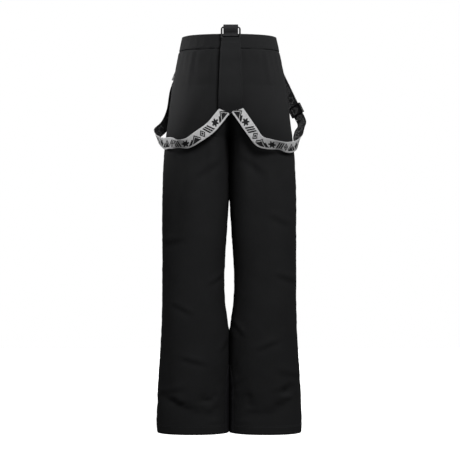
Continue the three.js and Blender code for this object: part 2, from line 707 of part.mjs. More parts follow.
// The bars of a ring that leans by RING_LEAN, as heights and outsets from the band's top edge.
function ringBars(outset) {
  const rise = BAR_REACH * Math.cos(RING_LEAN);
  const lean = BAR_REACH * Math.sin(RING_LEAN);
  return {
    upper: { up: RING_LIFT + rise, out: outset - lean },
    lower: { up: RING_LIFT - rise, out: outset + lean },
  };
}

function hangRing(name, spot, outset, webbing) {
  const lean = new THREE.Matrix4().makeRotationX(-RING_LEAN);
  const turn = new THREE.Matrix4().makeBasis(spot.across, spot.up, spot.out);
  const geometry = ringGeometry(webbing).applyMatrix4(lean);
  add(name, placed(geometry, turn, spot.at(0, RING_LIFT, outset)), BLACK_PLASTIC);
}

const BACK_OUTSET = 8.2; // how far the back ring's centre stands out of the skin
const BACK_TAB_DEPTH = 7.4; // how far inside the skin its tab rises
const backTop = skinAtX(YOKE_X, OUTSEAM, 0, false);
const backSpot = place(backTop, vec(0, 0, 1), vec(0, -1, 0));
const backBars = ringBars(BACK_OUTSET);
hangRing("back_ring", backSpot, BACK_OUTSET, TAB_WEBBING);
add("back_tab", tabGeometry(backSpot, backBars.upper, BACK_TAB_DEPTH, TAB_WEBBING / 2), TAPE);

// ---------------------------------------------------------------- yoke

const YOKE = { loop: 19, top: 22, bottom: 32.5, cornerZ: 839, tipZ: 823, standOff: 11.5 };
const YOKE_GRID = { columns: 8, bodyRows: 9 };
const YOKE_SEAM = 9; // the sewn end of the loop is this far below the bar
const YOKE_SHOULDER = 6; // and the flat body starts this far below it
const BESIDE_THE_CLEFT = 12; // x at which the yoke measures the seat under it

function yokeGeometry() {
  const { columns, bodyRows } = YOKE_GRID;
  const { lower } = backBars;
  const loop = [
    backSpot.at(0, lower.up - YOKE_SEAM, lower.out - WRAP),
    ...arcRound(backSpot, lower, Math.PI, 0, 0).map((s) => s.at),
  ];
  const bar = backSpot.at(0, lower.up, lower.out);
  const startZ = bar.z - YOKE_SHOULDER;
  const surface = (z) => skinAtX(BESIDE_THE_CLEFT, z, 0, false).y - YOKE.standOff;
  const rows = loop.length + bodyRows - 1;
  const middle = (i, j) => {
    const across = mix(-1, 1, j / columns);
    if (i < loop.length) return vec(YOKE_X + across * YOKE.loop, loop[i].y, loop[i].z);
    const endZ = mix(YOKE.tipZ, YOKE.cornerZ, Math.abs(across));
    const z = mix(startZ, endZ, (i - loop.length) / (bodyRows - 1));
    const widening = clamp01((startZ - z) / (startZ - YOKE.cornerZ));
    const y = Math.min(surface(z), bar.y - WRAP);
    return vec(YOKE_X + across * mix(YOKE.top, YOKE.bottom, widening), y, z);
  };
  const normal = (i, j) => {
    const a = middle(Math.max(i - 1, 0), j);
    const b = middle(Math.min(i + 1, rows), j);
    return b.sub(a).cross(vec(1, 0, 0)).normalize();
  };
  const point = (offset) => (i, j) => middle(i, j).addScaledVector(normal(i, j), offset);
  return shellBetween(point(YOKE_THICK / 2), point(-YOKE_THICK / 2), rows, columns);
}
add("yoke", yokeGeometry(), SHELL_FABRIC);

// ---------------------------------------------------------------- suspender straps

// Routes of the two straps from under the yoke, over the seat and round the hip, each point
// with the direction across the webbing. The side that they run on sets the sign of x.
const REAR_ROUTES = {
  right: [
    ...[[18, -122, 837, [0.79, 0, 0.61]], [35, -122.6, 813, [0.79, 0, 0.61]]],
    ...[[57, -127.5, 781, [0.76, -0.1, 0.62]], [79, -127, 753, [0.45, -0.3, 0.85]]],
    ...[[106, -124, 746, [0.05, -0.5, 0.85]], [126, -117, 744, [0, -0.7, 0.7]]],
    ...[[146, -100, 740, [0.1, -0.5, 0.86]], [164, -75, 742, [0.15, -0.1, 0.98]]],
    ...[[180, -45, 750, [0.2, 0, 0.97]], [189, -16, 760, [0.25, 0.05, 0.95]]],
    [192, 6, 771, [0.35, 0.05, 0.92]],
  ],
  left: [
    ...[[10, -121, 834, [0.7, 0, 0.7]], [28, -123, 811, [0.7, 0, 0.7]]],
    ...[[48, -127, 788, [0.62, -0.05, 0.78]], [80, -127, 765, [0.5, -0.15, 0.85]]],
    ...[[107, -122, 749, [0.2, -0.5, 0.84]], [130, -115, 748, [0, -0.75, 0.66]]],
    ...[[152, -91, 751, [0, -0.1, 0.98]], [168, -66, 751, [0.1, 0, 0.98]]],
    ...[[181, -38, 759, [0.3, 0, 0.95]], [189, -12, 769, [0.35, 0.05, 0.92]]],
    [191, 8, 780, [0.4, 0.05, 0.9]],
  ],
};

// The front of each strap: a straight doubled stretch down from the front ring, through the
// adjuster, and a free lead from there to the end of the rear strap.
const FRONT_STRAPS = {
  right: { pull: [76, -36, -165], drop: 182, lead: [[194, 16, 795, [0.4, 0, 0.9]]] },
  left: {
    pull: [58, -17, -143],
    drop: 81,
    lead: [[172, 29, 801, [0.45, -0.1, 0.9]], [158, 58, 836, [0.55, -0.5, 0.66]]],
  },
};
const ROUTE_STEPS = 44;
const LEAD_STEPS = 12;
const FRONT_RING_X = 90;
const FRONT_RING_BELOW = 20; // the front rings face outwards as the skin does this far down
const FRONT_OUTSET = 7.6;
const FRONT_TAB_DEPTH = 9;
const ADJUSTER = { width: 38, length: 27, thick: 8.4, bar: 3.4, rail: 3.4, plate: 1.6 };
const LAYER = 2.3; // distance between the two layers of a doubled strap
const SPREAD = { bar: 9, closed: 24 }; // below the ring's bar: where the layers part and where they meet
const TAIL = 26; // the free end reaches this far below the adjuster's middle
const LEAD_IN = 12; // and the other layer starts to bend away this much further down
const SEAM_ALLOWANCE = 0.8;

const mirrored = (side, [x, y, z]) => vec(side * x, y, z);
const onSide = (side) => ([x, y, z, across]) => ({
  at: mirrored(side, [x, y, z]),
  across: mirrored(side, across).multiplyScalar(side),
});

// A plain box-built triglide: a rail at each edge, one bar over the strap and two under it.
function adjusterGeometry() {
  const { width, length, thick, bar, rail } = ADJUSTER;
  const box = (w, l, t, x, y, z) => new THREE.BoxGeometry(w, l, t).translate(x, y, z);
  const railX = (width - rail) / 2;
  const barY = (length - bar) / 2;
  const barZ = (thick - ADJUSTER.plate) / 2;
  return joined(
    box(rail, length, thick, railX, 0, 0),
    box(rail, length, thick, -railX, 0, 0),
    box(width - rail, bar, ADJUSTER.plate, 0, 0, barZ),
    box(width - rail, bar, ADJUSTER.plate, 0, barY, -barZ),
    box(width - rail, bar, ADJUSTER.plate, 0, -barY, -barZ),
  );
}

function frontStrap(spot, bar, drop, lead) {
  const half = WEBBING / 2;
  const narrow = LAYER / 2;
  // The webbing reaches the ring without a twist.
  const across = spot.across.clone().multiplyScalar(Math.sign(spot.across.dot(lead[0].across)));
  const stop = (h, o) => ({ at: spot.at(0, bar.up - h, bar.out + o), across, half });
  const roundTheBar = arcRound(spot, bar, Math.PI, 0, half).map((s) => ({ ...s, across }));
  const free = curved([...lead, stop(drop + TAIL + LEAD_IN, -narrow)], LEAD_STEPS);
  return strip(
    [
      ...free,
      stop(drop, -narrow),
      stop(SPREAD.closed, -narrow),
      stop(SPREAD.bar, -WRAP),
      ...roundTheBar,
      stop(SPREAD.bar, WRAP),
      stop(SPREAD.closed, narrow),
      stop(drop, narrow),
      stop(drop + TAIL, narrow),
    ],
    WEBBING_THICK,
  );
}

// Where a front ring hangs, with its upper edge towards the waistband.
function frontSpot(side, pull) {
  const z = OUTSEAM - FRONT_RING_BELOW;
  const top = skinAtX(side * FRONT_RING_X, OUTSEAM);
  const outward = skinNormal(side, angleAtX(z, FRONT_RING_X, true), z);
  return place(top, mirrored(side, pull).negate(), outward);
}

for (const { name, side } of SIDES) {
  const { pull, drop, lead } = FRONT_STRAPS[name];
  const route = REAR_ROUTES[name].map(onSide(side));
  add(`strap_rear_${name}`, strip(curved(route, ROUTE_STEPS), WEBBING_THICK), GREY_WEBBING);

  const spot = frontSpot(side, pull);
  const bars = ringBars(FRONT_OUTSET);
  hangRing(`front_ring_${name}`, spot, FRONT_OUTSET, WEBBING);
  add(`front_tab_${name}`, tabGeometry(spot, bars.upper, FRONT_TAB_DEPTH, WEBBING / 2), TAPE);

  const { at, across } = route.at(-1);
  const start = { at: at.clone().add(mirrored(side, [0, SEAM_ALLOWANCE, SEAM_ALLOWANCE])), across };
  const points = [start, ...lead.map(onSide(side))];
  add(`strap_front_${name}`, frontStrap(spot, bars.lower, drop, points), GREY_WEBBING);

  const turn = new THREE.Matrix4().makeBasis(spot.across, spot.up, spot.out);
  const middle = spot.at(0, bars.lower.up - drop, bars.lower.out);
  add(`adjuster_${name}`, placed(adjusterGeometry(), turn, middle), BLACK_PLASTIC);
}

// The middle of the footprint becomes the origin.
pants.updateMatrixWorld(true);
const footprint = new THREE.Box3().setFromObject(pants, true).getCenter(vec());
pants.position.set(-footprint.x, -footprint.y, 0);

export default pants;
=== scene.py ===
"""The looks of the ski pants: fabric, webbing, zips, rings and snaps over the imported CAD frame.

Shapes are worked out in millimetres round the wearer's centre line, as in the CAD, and every
mesh is written in metres in the row frame. The fabric follows one outer surface, the skin.
A cloth simulation of the whole shell gives the wrinkles that every piece on the skin shares.
"""

import math

import bpy
import numpy as np
from mathutils import Matrix, Vector


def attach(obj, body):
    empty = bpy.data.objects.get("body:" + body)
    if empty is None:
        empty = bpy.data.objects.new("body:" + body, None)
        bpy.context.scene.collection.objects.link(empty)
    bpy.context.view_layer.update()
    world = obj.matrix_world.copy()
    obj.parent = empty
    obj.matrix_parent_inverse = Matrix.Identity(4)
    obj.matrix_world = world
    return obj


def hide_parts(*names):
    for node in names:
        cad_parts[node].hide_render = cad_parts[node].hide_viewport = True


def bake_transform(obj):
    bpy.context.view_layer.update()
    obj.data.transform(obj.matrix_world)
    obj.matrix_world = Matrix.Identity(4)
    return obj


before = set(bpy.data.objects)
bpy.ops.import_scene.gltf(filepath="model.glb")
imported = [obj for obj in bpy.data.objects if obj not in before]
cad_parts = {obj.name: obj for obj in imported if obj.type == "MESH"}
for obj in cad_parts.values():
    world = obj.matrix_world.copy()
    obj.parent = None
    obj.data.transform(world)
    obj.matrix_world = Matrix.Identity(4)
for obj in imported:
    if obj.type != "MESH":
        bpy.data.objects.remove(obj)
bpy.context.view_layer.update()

# ---------------------------------------------------------------- driving dimensions

MM = 0.001
CENTRE = np.array([-2.624, 13.2, 0.0])  # the wearer's centre line in the row frame, in mm

OUTSEAM = 1031.0
CROTCH = 765.0
OVAL_FROM = 900.0
BAND_BOTTOM = 993.0
FRONT_DIP = 20.0
DIP_FROM = 850.0
ROUNDNESS = 2.3
CLEFT_POWER = 1.6

# Height, outer and inner half widths, and the y of the back and of the front.
STATIONS = np.array(
    [
        [0, 189, 2.4, -80, 74],
        [60, 191, 2.4, -80, 75],
        [150, 188.5, 2.4, -79, 77],
        [230, 183.5, 2.4, -79, 79],
        [280, 181, 3, -80, 81],
        [345, 179.5, 11, -82, 84],
        [410, 179.5, 12.4, -83, 88],
        [540, 179.5, 4.8, -89, 91],
        [600, 179.5, 1.4, -93, 93],
        [711, 175.5, 1.2, -106, 97],
        [CROTCH, 170, 0.6, -114, 101],
        [816, 163, 0, -121, 104],
        [868, 157, 0, -122, 103],
        [921, 146.7, 0, -117, 100],
        [973, 135, 0, -108, 96.5],
        [OUTSEAM, 122.5, 0, -97, 92.5],
    ]
)
OUT, INNER, REAR, FORE = 1, 2, 3, 4  # columns of STATIONS

SHELL = 3.0
BAND_PROUD = 1.0
BAND_THICK = 4.5
LINING_DEPTH = 8.0

WEBBING = 30.0
WEBBING_THICK = 1.6
YOKE_X = 4.0

SIDE = math.pi  # the section angle at the hip: the back is at smaller angles, the front at larger ones
SIDES = {"left": -1, "right": 1}

SEED = 7
FLAP_PROUD, FLAP_THICK = 4.6, 2.6
SNAP_X = 15.0
FLY_TOP = 984.0
POCKET_LOW, POCKET_HIGH = (108.0, 838.0), (84.0, 958.0)  # x and z of a pocket zip's ends

# ---------------------------------------------------------------- small mathematics


def unit(v):
    """v with length 1, for one vector or an array of them."""
    v = np.asarray(v, float)
    return v / np.maximum(np.linalg.norm(v, axis=-1, keepdims=True), 1e-9)


def smooth(t):
    t = np.clip(t, 0, 1)
    return t * t * (3 - 2 * t)


def rising(value, start, width):
    """0 up to start, then smoothly up to 1 over the width."""
    return smooth((value - start) / width)


def mix(a, b, t):
    return a + (b - a) * t


def signed_power(v, p):
    return np.sign(v) * np.abs(v) ** p


def station(column, z):
    """A smooth value between the stations, as a Hermite curve through them."""
    x, y = STATIONS[:, 0], STATIONS[:, column]
    last = len(x) - 1
    before = np.maximum(np.arange(last + 1) - 1, 0)
    after = np.minimum(np.arange(last + 1) + 1, last)
    slope = (y[after] - y[before]) / (x[after] - x[before])
    at = np.clip(z, 0, OUTSEAM)
    i = np.clip(np.searchsorted(x, at) - 1, 0, last - 1)
    h = x[i + 1] - x[i]
    t = (at - x[i]) / h
    return (
        y[i] * (1 + 2 * t) * (1 - t) ** 2
        + y[i + 1] * t * t * (3 - 2 * t)
        + slope[i] * h * t * (1 - t) ** 2
        - slope[i + 1] * h * t * t * (1 - t)
    )


def turned(x, y, angle):
    return x * math.cos(angle) + y * math.sin(angle), y * math.cos(angle) - x * math.sin(angle)


def noise(points, scale, seed=SEED):
    """Smooth random values from -1 to 1 at points whose last axis is two coordinates."""
    p = np.asarray(points, float) / scale
    cell = np.floor(p).astype(int)
    f = p - cell
    f = f * f * (3 - 2 * f)

    def corner(dx, dy):
        n = (cell[..., 0] + dx) * 374761393 + (cell[..., 1] + dy) * 668265263 + seed * 974634777
        n = (n ^ (n >> 13)) * 1274126177
        return ((n ^ (n >> 16)) & 0xFFFF) / 32767.5 - 1

    low = mix(corner(0, 0), corner(1, 0), f[..., 0])
    high = mix(corner(0, 1), corner(1, 1), f[..., 0])
    return mix(low, high, f[..., 1])


# ---------------------------------------------------------------- the skin


def lobe(z):
    """Centre and half width of one leg's section, and the y midway between back and front."""
    out = station(OUT, z)
    merge = np.clip((z - CROTCH) / (OVAL_FROM - CROTCH), 0, 1) ** CLEFT_POWER
    inner = np.where(z > CROTCH, -out * merge, station(INNER, z))
    middle = 0.5 * (station(REAR, z) + station(FORE, z))
    return (out + inner) / 2, (out - inner) / 2, middle


def angle_at_x(z, x, on_front=False):
    """The section angle at which a lobe crosses the plane x."""
    cx, ax, _ = lobe(z)
    angle = np.arccos(signed_power(np.clip((cx - x) / ax, -1, 1), ROUNDNESS / 2))
    return 2 * math.pi - angle if on_front else angle


def on_skin(side, angle, z):
    cx, ax, middle = lobe(z)
    power = 2 / ROUNDNESS
    s = signed_power(np.sin(angle), power)
    reach = np.where(s > 0, middle - station(REAR, z), station(FORE, z) - middle)
    frontness = smooth((-np.sin(angle) - 0.3) / 0.7)
    dip = frontness * smooth((z - DIP_FROM) / (OUTSEAM - DIP_FROM))
    x = side * (cx - ax * signed_power(np.cos(angle), power))
    return np.stack(np.broadcast_arrays(x, middle - reach * s, z - FRONT_DIP * dip), axis=-1)


def skin_normal(side, angle, z):
    step, rise = 0.01, 2.0
    along = on_skin(side, angle + step, z) - on_skin(side, angle - step, z)
    up = on_skin(side, angle, z + rise) - on_skin(side, angle, z - rise)
    normal = np.cross(along, up) * side
    normal[..., 2] = np.where(z < rise, 0, normal[..., 2])
    return unit(normal)


def bare_skin(side, angle, z, proud=0.0):
    """A point `proud` millimetres outside the skin, without its wrinkles."""
    angle, z, proud = np.broadcast_arrays(angle, np.asarray(z, float), proud)
    return on_skin(side, angle, z) + skin_normal(side, angle, z) * proud[..., None]


# ---------------------------------------------------------------- shell panels


SEAM_LAP = 0.5  # each half runs on this far past the centre, so that no light shows between them
INSEAM_GAP = 0.0024  # angle from the centre plane to a panel's edge at the inseam


def back_seam(z):
    """Angle of a back panel's inner edge: the inseam, and above the crotch the centre back."""
    return np.where(z > CROTCH, angle_at_x(z, -SEAM_LAP), INSEAM_GAP)


FLY_BOTTOM = 850.0
FLY_HALF = 7.0
FLY_BLEND = 16.0  # height over which the front seam opens into the fly


def front_seam(z):
    """Angle of a front panel's inner edge, which gives way to the fly zip near the waist."""
    opening = mix(-SEAM_LAP, FLY_HALF, rising(z, FLY_BOTTOM - FLY_BLEND / 2, FLY_BLEND))
    return np.where(z > CROTCH, angle_at_x(z, opening, True), 2 * math.pi - INSEAM_GAP)


PANELS = {"back": (back_seam, lambda z: SIDE), "front": (lambda z: SIDE, front_seam)}

# ---------------------------------------------------------------- cloth simulation

SIM_ROWS = 92
SIM_COLUMNS = 18
SIM_TOP = 992.0
SIM_FRAMES = 24
SIM_GRAVITY = 0.6
MOST_IN, MOST_OUT = 4.0, 6.0  # how far the simulation may move the fabric
WAIST_PIN, HEM_PIN = (930, 60), (-40, 40)  # where the pinning starts and over which height it grows
LEAST_PIN = 0.02
CLOTH = {
    "quality": 6,
    "mass": 0.3,
    "tension_stiffness": 20,
    "compression_stiffness": 20,
    "shear_stiffness": 8,
    "bending_stiffness": 1.5,
    "vertex_group_mass": "pins",
    "pin_stiffness": 0.6,
    "shrink_min": -0.035,
    "use_pressure": True,
    "uniform_pressure_force": 1.0,
}


def sim_points(side, panel):
    """A panel's points and normals before the simulation."""
    z = np.linspace(0, SIM_TOP, SIM_ROWS)[:, None]
    low, high = (edge(z) for edge in PANELS[panel])
    angle = mix(low, high, np.linspace(0, 1, SIM_COLUMNS)[None, :])
    height = z * np.ones_like(angle)
    return bare_skin(side, angle, height), skin_normal(side, angle, height)


def welded(grids):
    """One index array per panel, where the panels share the points of their seams."""
    heights = np.linspace(0, SIM_TOP, SIM_ROWS)
    legs, seat = heights <= CROTCH, heights >= CROTCH - SIM_TOP / SIM_ROWS
    ids, count = {}, 0
    for key in grids:
        ids[key] = np.arange(count, count + SIM_ROWS * SIM_COLUMNS).reshape(SIM_ROWS, SIM_COLUMNS)
        count += SIM_ROWS * SIM_COLUMNS

    def join(first, second):
        for a, b in zip(first, second):
            for key in ids:
                ids[key][ids[key] == b] = a

    for side in SIDES.values():
        join(ids[side, "back"][:, -1].copy(), ids[side, "front"][:, 0].copy())
        join(ids[side, "back"][legs, 0].copy(), ids[side, "front"][legs, -1].copy())
    for panel, column in (("back", 0), ("front", -1)):
        join(ids[1, panel][seat, column].copy(), ids[-1, panel][seat, column].copy())
    return ids


def settled(points, faces):
    """How far each point moves while a pinned, shrinking and slightly blown up cloth settles."""
    mesh = bpy.data.meshes.new("cloth_sim")
    mesh.from_pydata((points * MM).tolist(), [], faces)
    doll = bpy.data.objects.new("cloth_sim", mesh)
    scene = bpy.context.scene
    scene.collection.objects.link(doll)
    pins = doll.vertex_groups.new(name="pins")
    heights = points[:, 2]
    pinned = np.maximum(rising(heights, *WAIST_PIN), rising(-heights, *HEM_PIN))
    for index, weight in enumerate(pinned):
        pins.add([index], float(max(weight, LEAST_PIN)), "REPLACE")

    cloth = doll.modifiers.new("cloth", "CLOTH").settings
    for setting, value in CLOTH.items():
        setattr(cloth, setting, value)
    cloth.effector_weights.gravity = SIM_GRAVITY
    for number in range(1, SIM_FRAMES + 1):
        scene.frame_set(number)
    draped = doll.evaluated_get(bpy.context.evaluated_depsgraph_get()).data
    moved = np.array([v.co for v in draped.vertices]) / MM - points
    scene.frame_set(1)
    bpy.data.objects.remove(doll)
    bpy.data.meshes.remove(mesh)
    return moved


def limited(along):
    """A movement along the normal, which flattens out at the most that is allowed each way."""
    outward, inward = (most * np.tanh(along / most) for most in (MOST_OUT, MOST_IN))
    return np.where(along > 0, outward, inward)


def simulated_wrinkles():
    """How far the simulated shell moves along the skin's normal, on a grid for each panel."""
    keys = [(side, panel) for side in SIDES.values() for panel in PANELS]
    rest = {key: sim_points(*key) for key in keys}
    ids = welded(rest)
    used, inverse = np.unique(np.concatenate([ids[key].ravel() for key in keys]), return_inverse=True)
    grids = dict(zip(keys, inverse.reshape(len(keys), SIM_ROWS, SIM_COLUMNS)))
    points = np.zeros((len(used), 3))
    faces = []
    for side, panel in keys:
        c = grids[side, panel]
        points[c] = rest[side, panel][0]
        quads = np.stack([c[:-1, :-1], c[:-1, 1:], c[1:, 1:], c[1:, :-1]], axis=-1).reshape(-1, 4)
        faces += (quads if side > 0 else quads[:, ::-1]).tolist()
    moved = settled(points, faces)
    return {key: limited((moved[grids[key]] * rest[key][1]).sum(-1)) for key in keys}


WRINKLES = simulated_wrinkles()


def between(field, row, column):
    """The grid's value at fractional rows and columns, by a Catmull-Rom curve each way."""
    rows, columns = field.shape
    row, column = np.clip(row, 0, rows - 1), np.clip(column, 0, columns - 1)
    i = np.minimum(row.astype(int), rows - 2)
    j = np.minimum(column.astype(int), columns - 2)

    def weights(t):
        return (
            -0.5 * t + t**2 - 0.5 * t**3,
            1 - 2.5 * t**2 + 1.5 * t**3,
            0.5 * t + 2 * t**2 - 1.5 * t**3,
            -0.5 * t**2 + 0.5 * t**3,
        )

    total = 0
    for a, wa in enumerate(weights(row - i)):
        for b, wb in enumerate(weights(column - j)):
            ii = np.clip(i + a - 1, 0, rows - 1)
            jj = np.clip(j + b - 1, 0, columns - 1)
            total = total + wa * wb * field[ii, jj]
    return total


def wrinkle(side, angle, z):
    """How far the draped fabric stands out of the skin, in millimetres."""
    angle, z = np.broadcast_arrays(np.asarray(angle, float), np.asarray(z, float))
    if not WRINKLES:
        return np.zeros_like(angle)
    total = np.zeros_like(angle)
    for panel, (low, high) in PANELS.items():
        a, b = low(z), high(z)
        here = angle <= SIDE if panel == "back" else angle > SIDE
        t = np.clip((angle - a) / (b - a), 0, 1)
        value = between(WRINKLES[side, panel], z / SIM_TOP * (SIM_ROWS - 1), t * (SIM_COLUMNS - 1))
        total = np.where(here, value, total)
    return total


# Where the wrinkles fade: the start and the width of the stretch over which they come back.
FLY_CALM, POCKET_CALM, CENTRE_CALM = (20, 40), (10, 30), (2, 25)  # distances from the zip or seam
INSEAM_CALM = (0.1, 0.5)  # sine of half the section angle
FRONT_CALM_Z = 820
POCKET_CALM_Z = (815, 980)
SEAT_TOP = (870, 40)
WAIST_CALM, WAIST_SHARE = (860, 60), 0.45
HEM_CALM = (5, 110)


def calmed(side, angle, z):
    """The share of the wrinkles that is kept: less near zips, the waist, the hem and the centre seams."""
    x = np.abs(on_skin(side, angle, z)[..., 0])
    zip_x = np.interp(z, *zip(POCKET_LOW[::-1], POCKET_HIGH[::-1]))
    beside_zip = (z > POCKET_CALM_Z[0]) & (z < POCKET_CALM_Z[1])
    pocket = np.where(beside_zip, rising(np.abs(x - zip_x), *POCKET_CALM), 1)
    on_front = (angle > SIDE) & (z > FRONT_CALM_Z)
    keep = np.where(on_front, np.minimum(rising(x, *FLY_CALM), pocket), 1)
    inseam = rising(np.sin(angle / 2), *INSEAM_CALM)
    centre = mix(rising(x, *CENTRE_CALM), 1, rising(z, *SEAT_TOP))
    keep = keep * mix(inseam, centre, rising(z, CROTCH, 30))
    return keep * mix(1, WAIST_SHARE, rising(z, *WAIST_CALM)) * rising(z, *HEM_CALM)


# Creases that a cloth simulation of this size is too coarse for: the middle in x and z on the
# back, the length, the tilt from level in degrees, the half width and the depth.
CREASES = (
    (-158, 117, 95, 12, 10, 1.5), (-140, 96, 60, -20, 9, 1.0), (170, 160, 90, -14, 11, 1.6),
    (142, 128, 70, 18, 9, 1.2), (-16, 234, 44, 62, 8, 1.6), (18, 136, 60, 40, 8, 1.2),
    (28, 276, 50, -48, 8, 1.8), (-37, 404, 46, 35, 8, 1.6), (154, 408, 64, -20, 10, 1.8),
    (-150, 505, 70, 10, 11, 1.7), (132, 560, 60, -26, 11, 1.6), (-60, 690, 70, 40, 11, 1.8),
    (66, 700, 64, -42, 11, 1.7), (-118, 330, 60, -28, 9, 1.6), (96, 236, 60, 24, 9, 1.7),
    (-92, 196, 64, -16, 9, 1.8),
)  # fmt: skip


def creases(x, z, behind):
    """Creases on the back of the legs, placed one by one, in millimetres out of the skin."""
    total = np.zeros_like(z)
    for middle_x, middle_z, length, tilt, width, depth in CREASES:
        along, off = turned(x - middle_x, z - middle_z, math.radians(tilt))
        fade = np.exp(-((2 * along / length) ** 4))
        fold = np.exp(-((off / width) ** 2)) - 0.9 * np.exp(-(((off + 1.3 * width) / width) ** 2))
        total = total + depth * fade * fold
    return total * behind


ANKLES_END, THIGHS_FROM, THIGHS_END = (263, 14), (596, 22), (CROTCH + 60, 40)
CLOSING_LAP, CLOSING_ANGLE = 0.35, 0.5


def closing(angle, z):
    """How far the inner legs lean out of the skin, where they rest against each other."""
    ankles = 1 - rising(z, *ANKLES_END)
    thighs = rising(z, *THIGHS_FROM) * (1 - rising(z, *THIGHS_END))
    away = np.minimum(angle, 2 * math.pi - angle)
    return (station(INNER, z) + CLOSING_LAP) * (ankles + thighs) * np.exp(-((away / CLOSING_ANGLE) ** 2))


SEAT_LAP, SEAT_LAP_WIDTH = 1.1, 4.0
SEAT_LAP_FROM, SEAT_LAP_END = (CROTCH, 10), (838, 10)


def lapping(x, z):
    """How far the centre seam's edges reach past each other, so that no light shows between them."""
    seat = rising(z, *SEAT_LAP_FROM) * (1 - rising(z, *SEAT_LAP_END))
    return SEAT_LAP * seat * np.exp(-((x / SEAT_LAP_WIDTH) ** 2))


def skin(side, angle, z, proud=0.0):
    """A point on the draped fabric, `proud` millimetres outside the shell's outer face."""
    angle, z = np.broadcast_arrays(np.asarray(angle, float), np.asarray(z, float))
    drape = wrinkle(side, angle, z) * calmed(side, angle, z) + closing(angle, z)
    if WRINKLES:
        drape = drape + creases(on_skin(side, angle, z)[..., 0], z, rising(np.sin(angle), 0, 0.4))
    points = bare_skin(side, angle, z, proud + drape)
    points[..., 0] -= side * lapping(points[..., 0], z)
    return points


def skin_at_x(x, z, proud=0.0, on_front=True, draped=True):
    """A point straight in front of or behind x."""
    x, z, proud = np.broadcast_arrays(np.asarray(x, float), np.asarray(z, float), proud)
    place = skin if draped else bare_skin
    right = place(1, angle_at_x(z, np.abs(x), on_front), z, proud)
    left = place(-1, angle_at_x(z, np.abs(x), on_front), z, proud)
    return np.where((x < 0)[..., None], left, right)


# ---------------------------------------------------------------- mesh building


def make(name, points, faces, material, body="garment", extra=None):
    """A smooth shaded mesh from points in mm, riding on a body."""
    mesh = bpy.data.meshes.new(name)
    mesh.from_pydata(((points + CENTRE) * MM).tolist(), [], faces)
    if extra is not None:
        attribute = mesh.attributes.new("cloth", "FLOAT_VECTOR", "POINT")
        attribute.data.foreach_set("vector", (extra * MM).astype(np.float32).ravel())
    mesh.polygons.foreach_set("use_smooth", np.ones(len(mesh.polygons), bool))
    mesh.materials.append(material)
    mesh.update()
    piece = bpy.data.objects.new(name, mesh)
    bpy.context.scene.collection.objects.link(piece)
    if body:
        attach(piece, body)
    return piece


def grid_quads(rows, columns, ring=False, start=0):
    """Faces of a grid of points, numbered row by row from start. The columns of a ring close up."""
    i, j = np.mgrid[0 : rows - 1, 0 : columns - (0 if ring else 1)]
    here, beside = i * columns + j, i * columns + (j + 1) % columns
    return start + np.stack([here, beside, beside + columns, here + columns], -1).reshape(-1, 4)


def lengths(grid, axis):
    """Distance along the grid's lines in one direction, from their start."""
    step = np.linalg.norm(np.diff(grid, axis=axis), axis=-1)
    pad = [(0, 0), (0, 0)]
    pad[axis] = (1, 0)
    return np.cumsum(np.pad(step, pad), axis=axis)


def grid_normals(grid, ring=False):
    along = np.gradient(grid, axis=0)
    if ring:
        across = np.roll(grid, -1, axis=1) - np.roll(grid, 1, axis=1)
    else:
        across = np.gradient(grid, axis=1)
    return unit(np.cross(across, along))


def rounded(distance, radius):
    """How much of its thickness a piece has this far from its edge."""
    t = np.clip(distance / radius, 0, 1)
    return np.sqrt(np.maximum(1 - (1 - t) ** 2, 0.0))


def sheet_solid(grid, thick, edge=1.2, ring=False, outward=1, bumps=None):
    """Points, faces and cloth coordinates of a closed sheet with rounded edges.

    grid holds the middle of the sheet as rows by columns. outward is 1 where its normals
    already point at the side that bumps belong to.
    """
    rows, columns = grid.shape[:2]
    normal = grid_normals(grid, ring) * outward
    u, v = lengths(grid, 1), lengths(grid, 0)
    near = np.minimum(v, v[-1:, :] - v)
    if not ring:
        near = np.minimum(near, np.minimum(u, u[:, -1:] - u))
    half = np.maximum(thick / 2 * rounded(near, edge), 0.08)
    lift = 0 if bumps is None else bumps
    outer = grid + normal * (half + lift)[..., None]
    inner = grid - normal * half[..., None]
    points = np.concatenate([outer.reshape(-1, 3), inner.reshape(-1, 3)])
    size = rows * columns
    top = grid_quads(rows, columns, ring)
    bottom = grid_quads(rows, columns, ring, size)[:, ::-1]
    walls = []
    for i, turn in ((0, 1), (rows - 1, -1)):
        j = np.arange(columns if ring else columns - 1)
        k = (j + 1) % columns
        a, b = i * columns + j, i * columns + k
        walls.append(np.stack([b, a, size + a, size + b], -1)[:, ::turn])
    if not ring:
        for j, turn in ((0, -1), (columns - 1, 1)):
            i = np.arange(rows - 1)
            a, b = i * columns + j, (i + 1) * columns + j
            walls.append(np.stack([b, a, size + a, size + b], -1)[:, ::turn])
    faces = np.concatenate([top, bottom, *walls])
    if outward < 0:
        faces = faces[:, ::-1]
    cloth = np.stack([u, v, near], -1).reshape(-1, 3)
    return points, faces.tolist(), np.concatenate([cloth, cloth])


def sheet_piece(name, grid, thick, material, body="garment", **options):
    points, faces, cloth = sheet_solid(grid, thick, **options)
    return make(name, points, faces, material, body, cloth)


def ruffled(grid, scale, seed, across=1.0, along=1.0):
    """Smooth random relief over a fabric, from -1 to 1. across and along stretch the noise."""
    return noise(np.stack([lengths(grid, 1) * across, lengths(grid, 0) * along], -1), scale, seed)


def ridges_at(distance, places, width, height):
    """Rounded ridges, or grooves where height is below 0, at some distances from an edge."""
    return sum(height * np.exp(-(((distance - place) / width) ** 2)) for place in places)


def grid_of(rows, columns, function):
    """function(s, t) over a grid of s down the rows and t along the columns, both 0 to 1."""
    s, t = np.meshgrid(np.linspace(0, 1, rows), np.linspace(0, 1, columns), indexing="ij")
    return function(s, t)


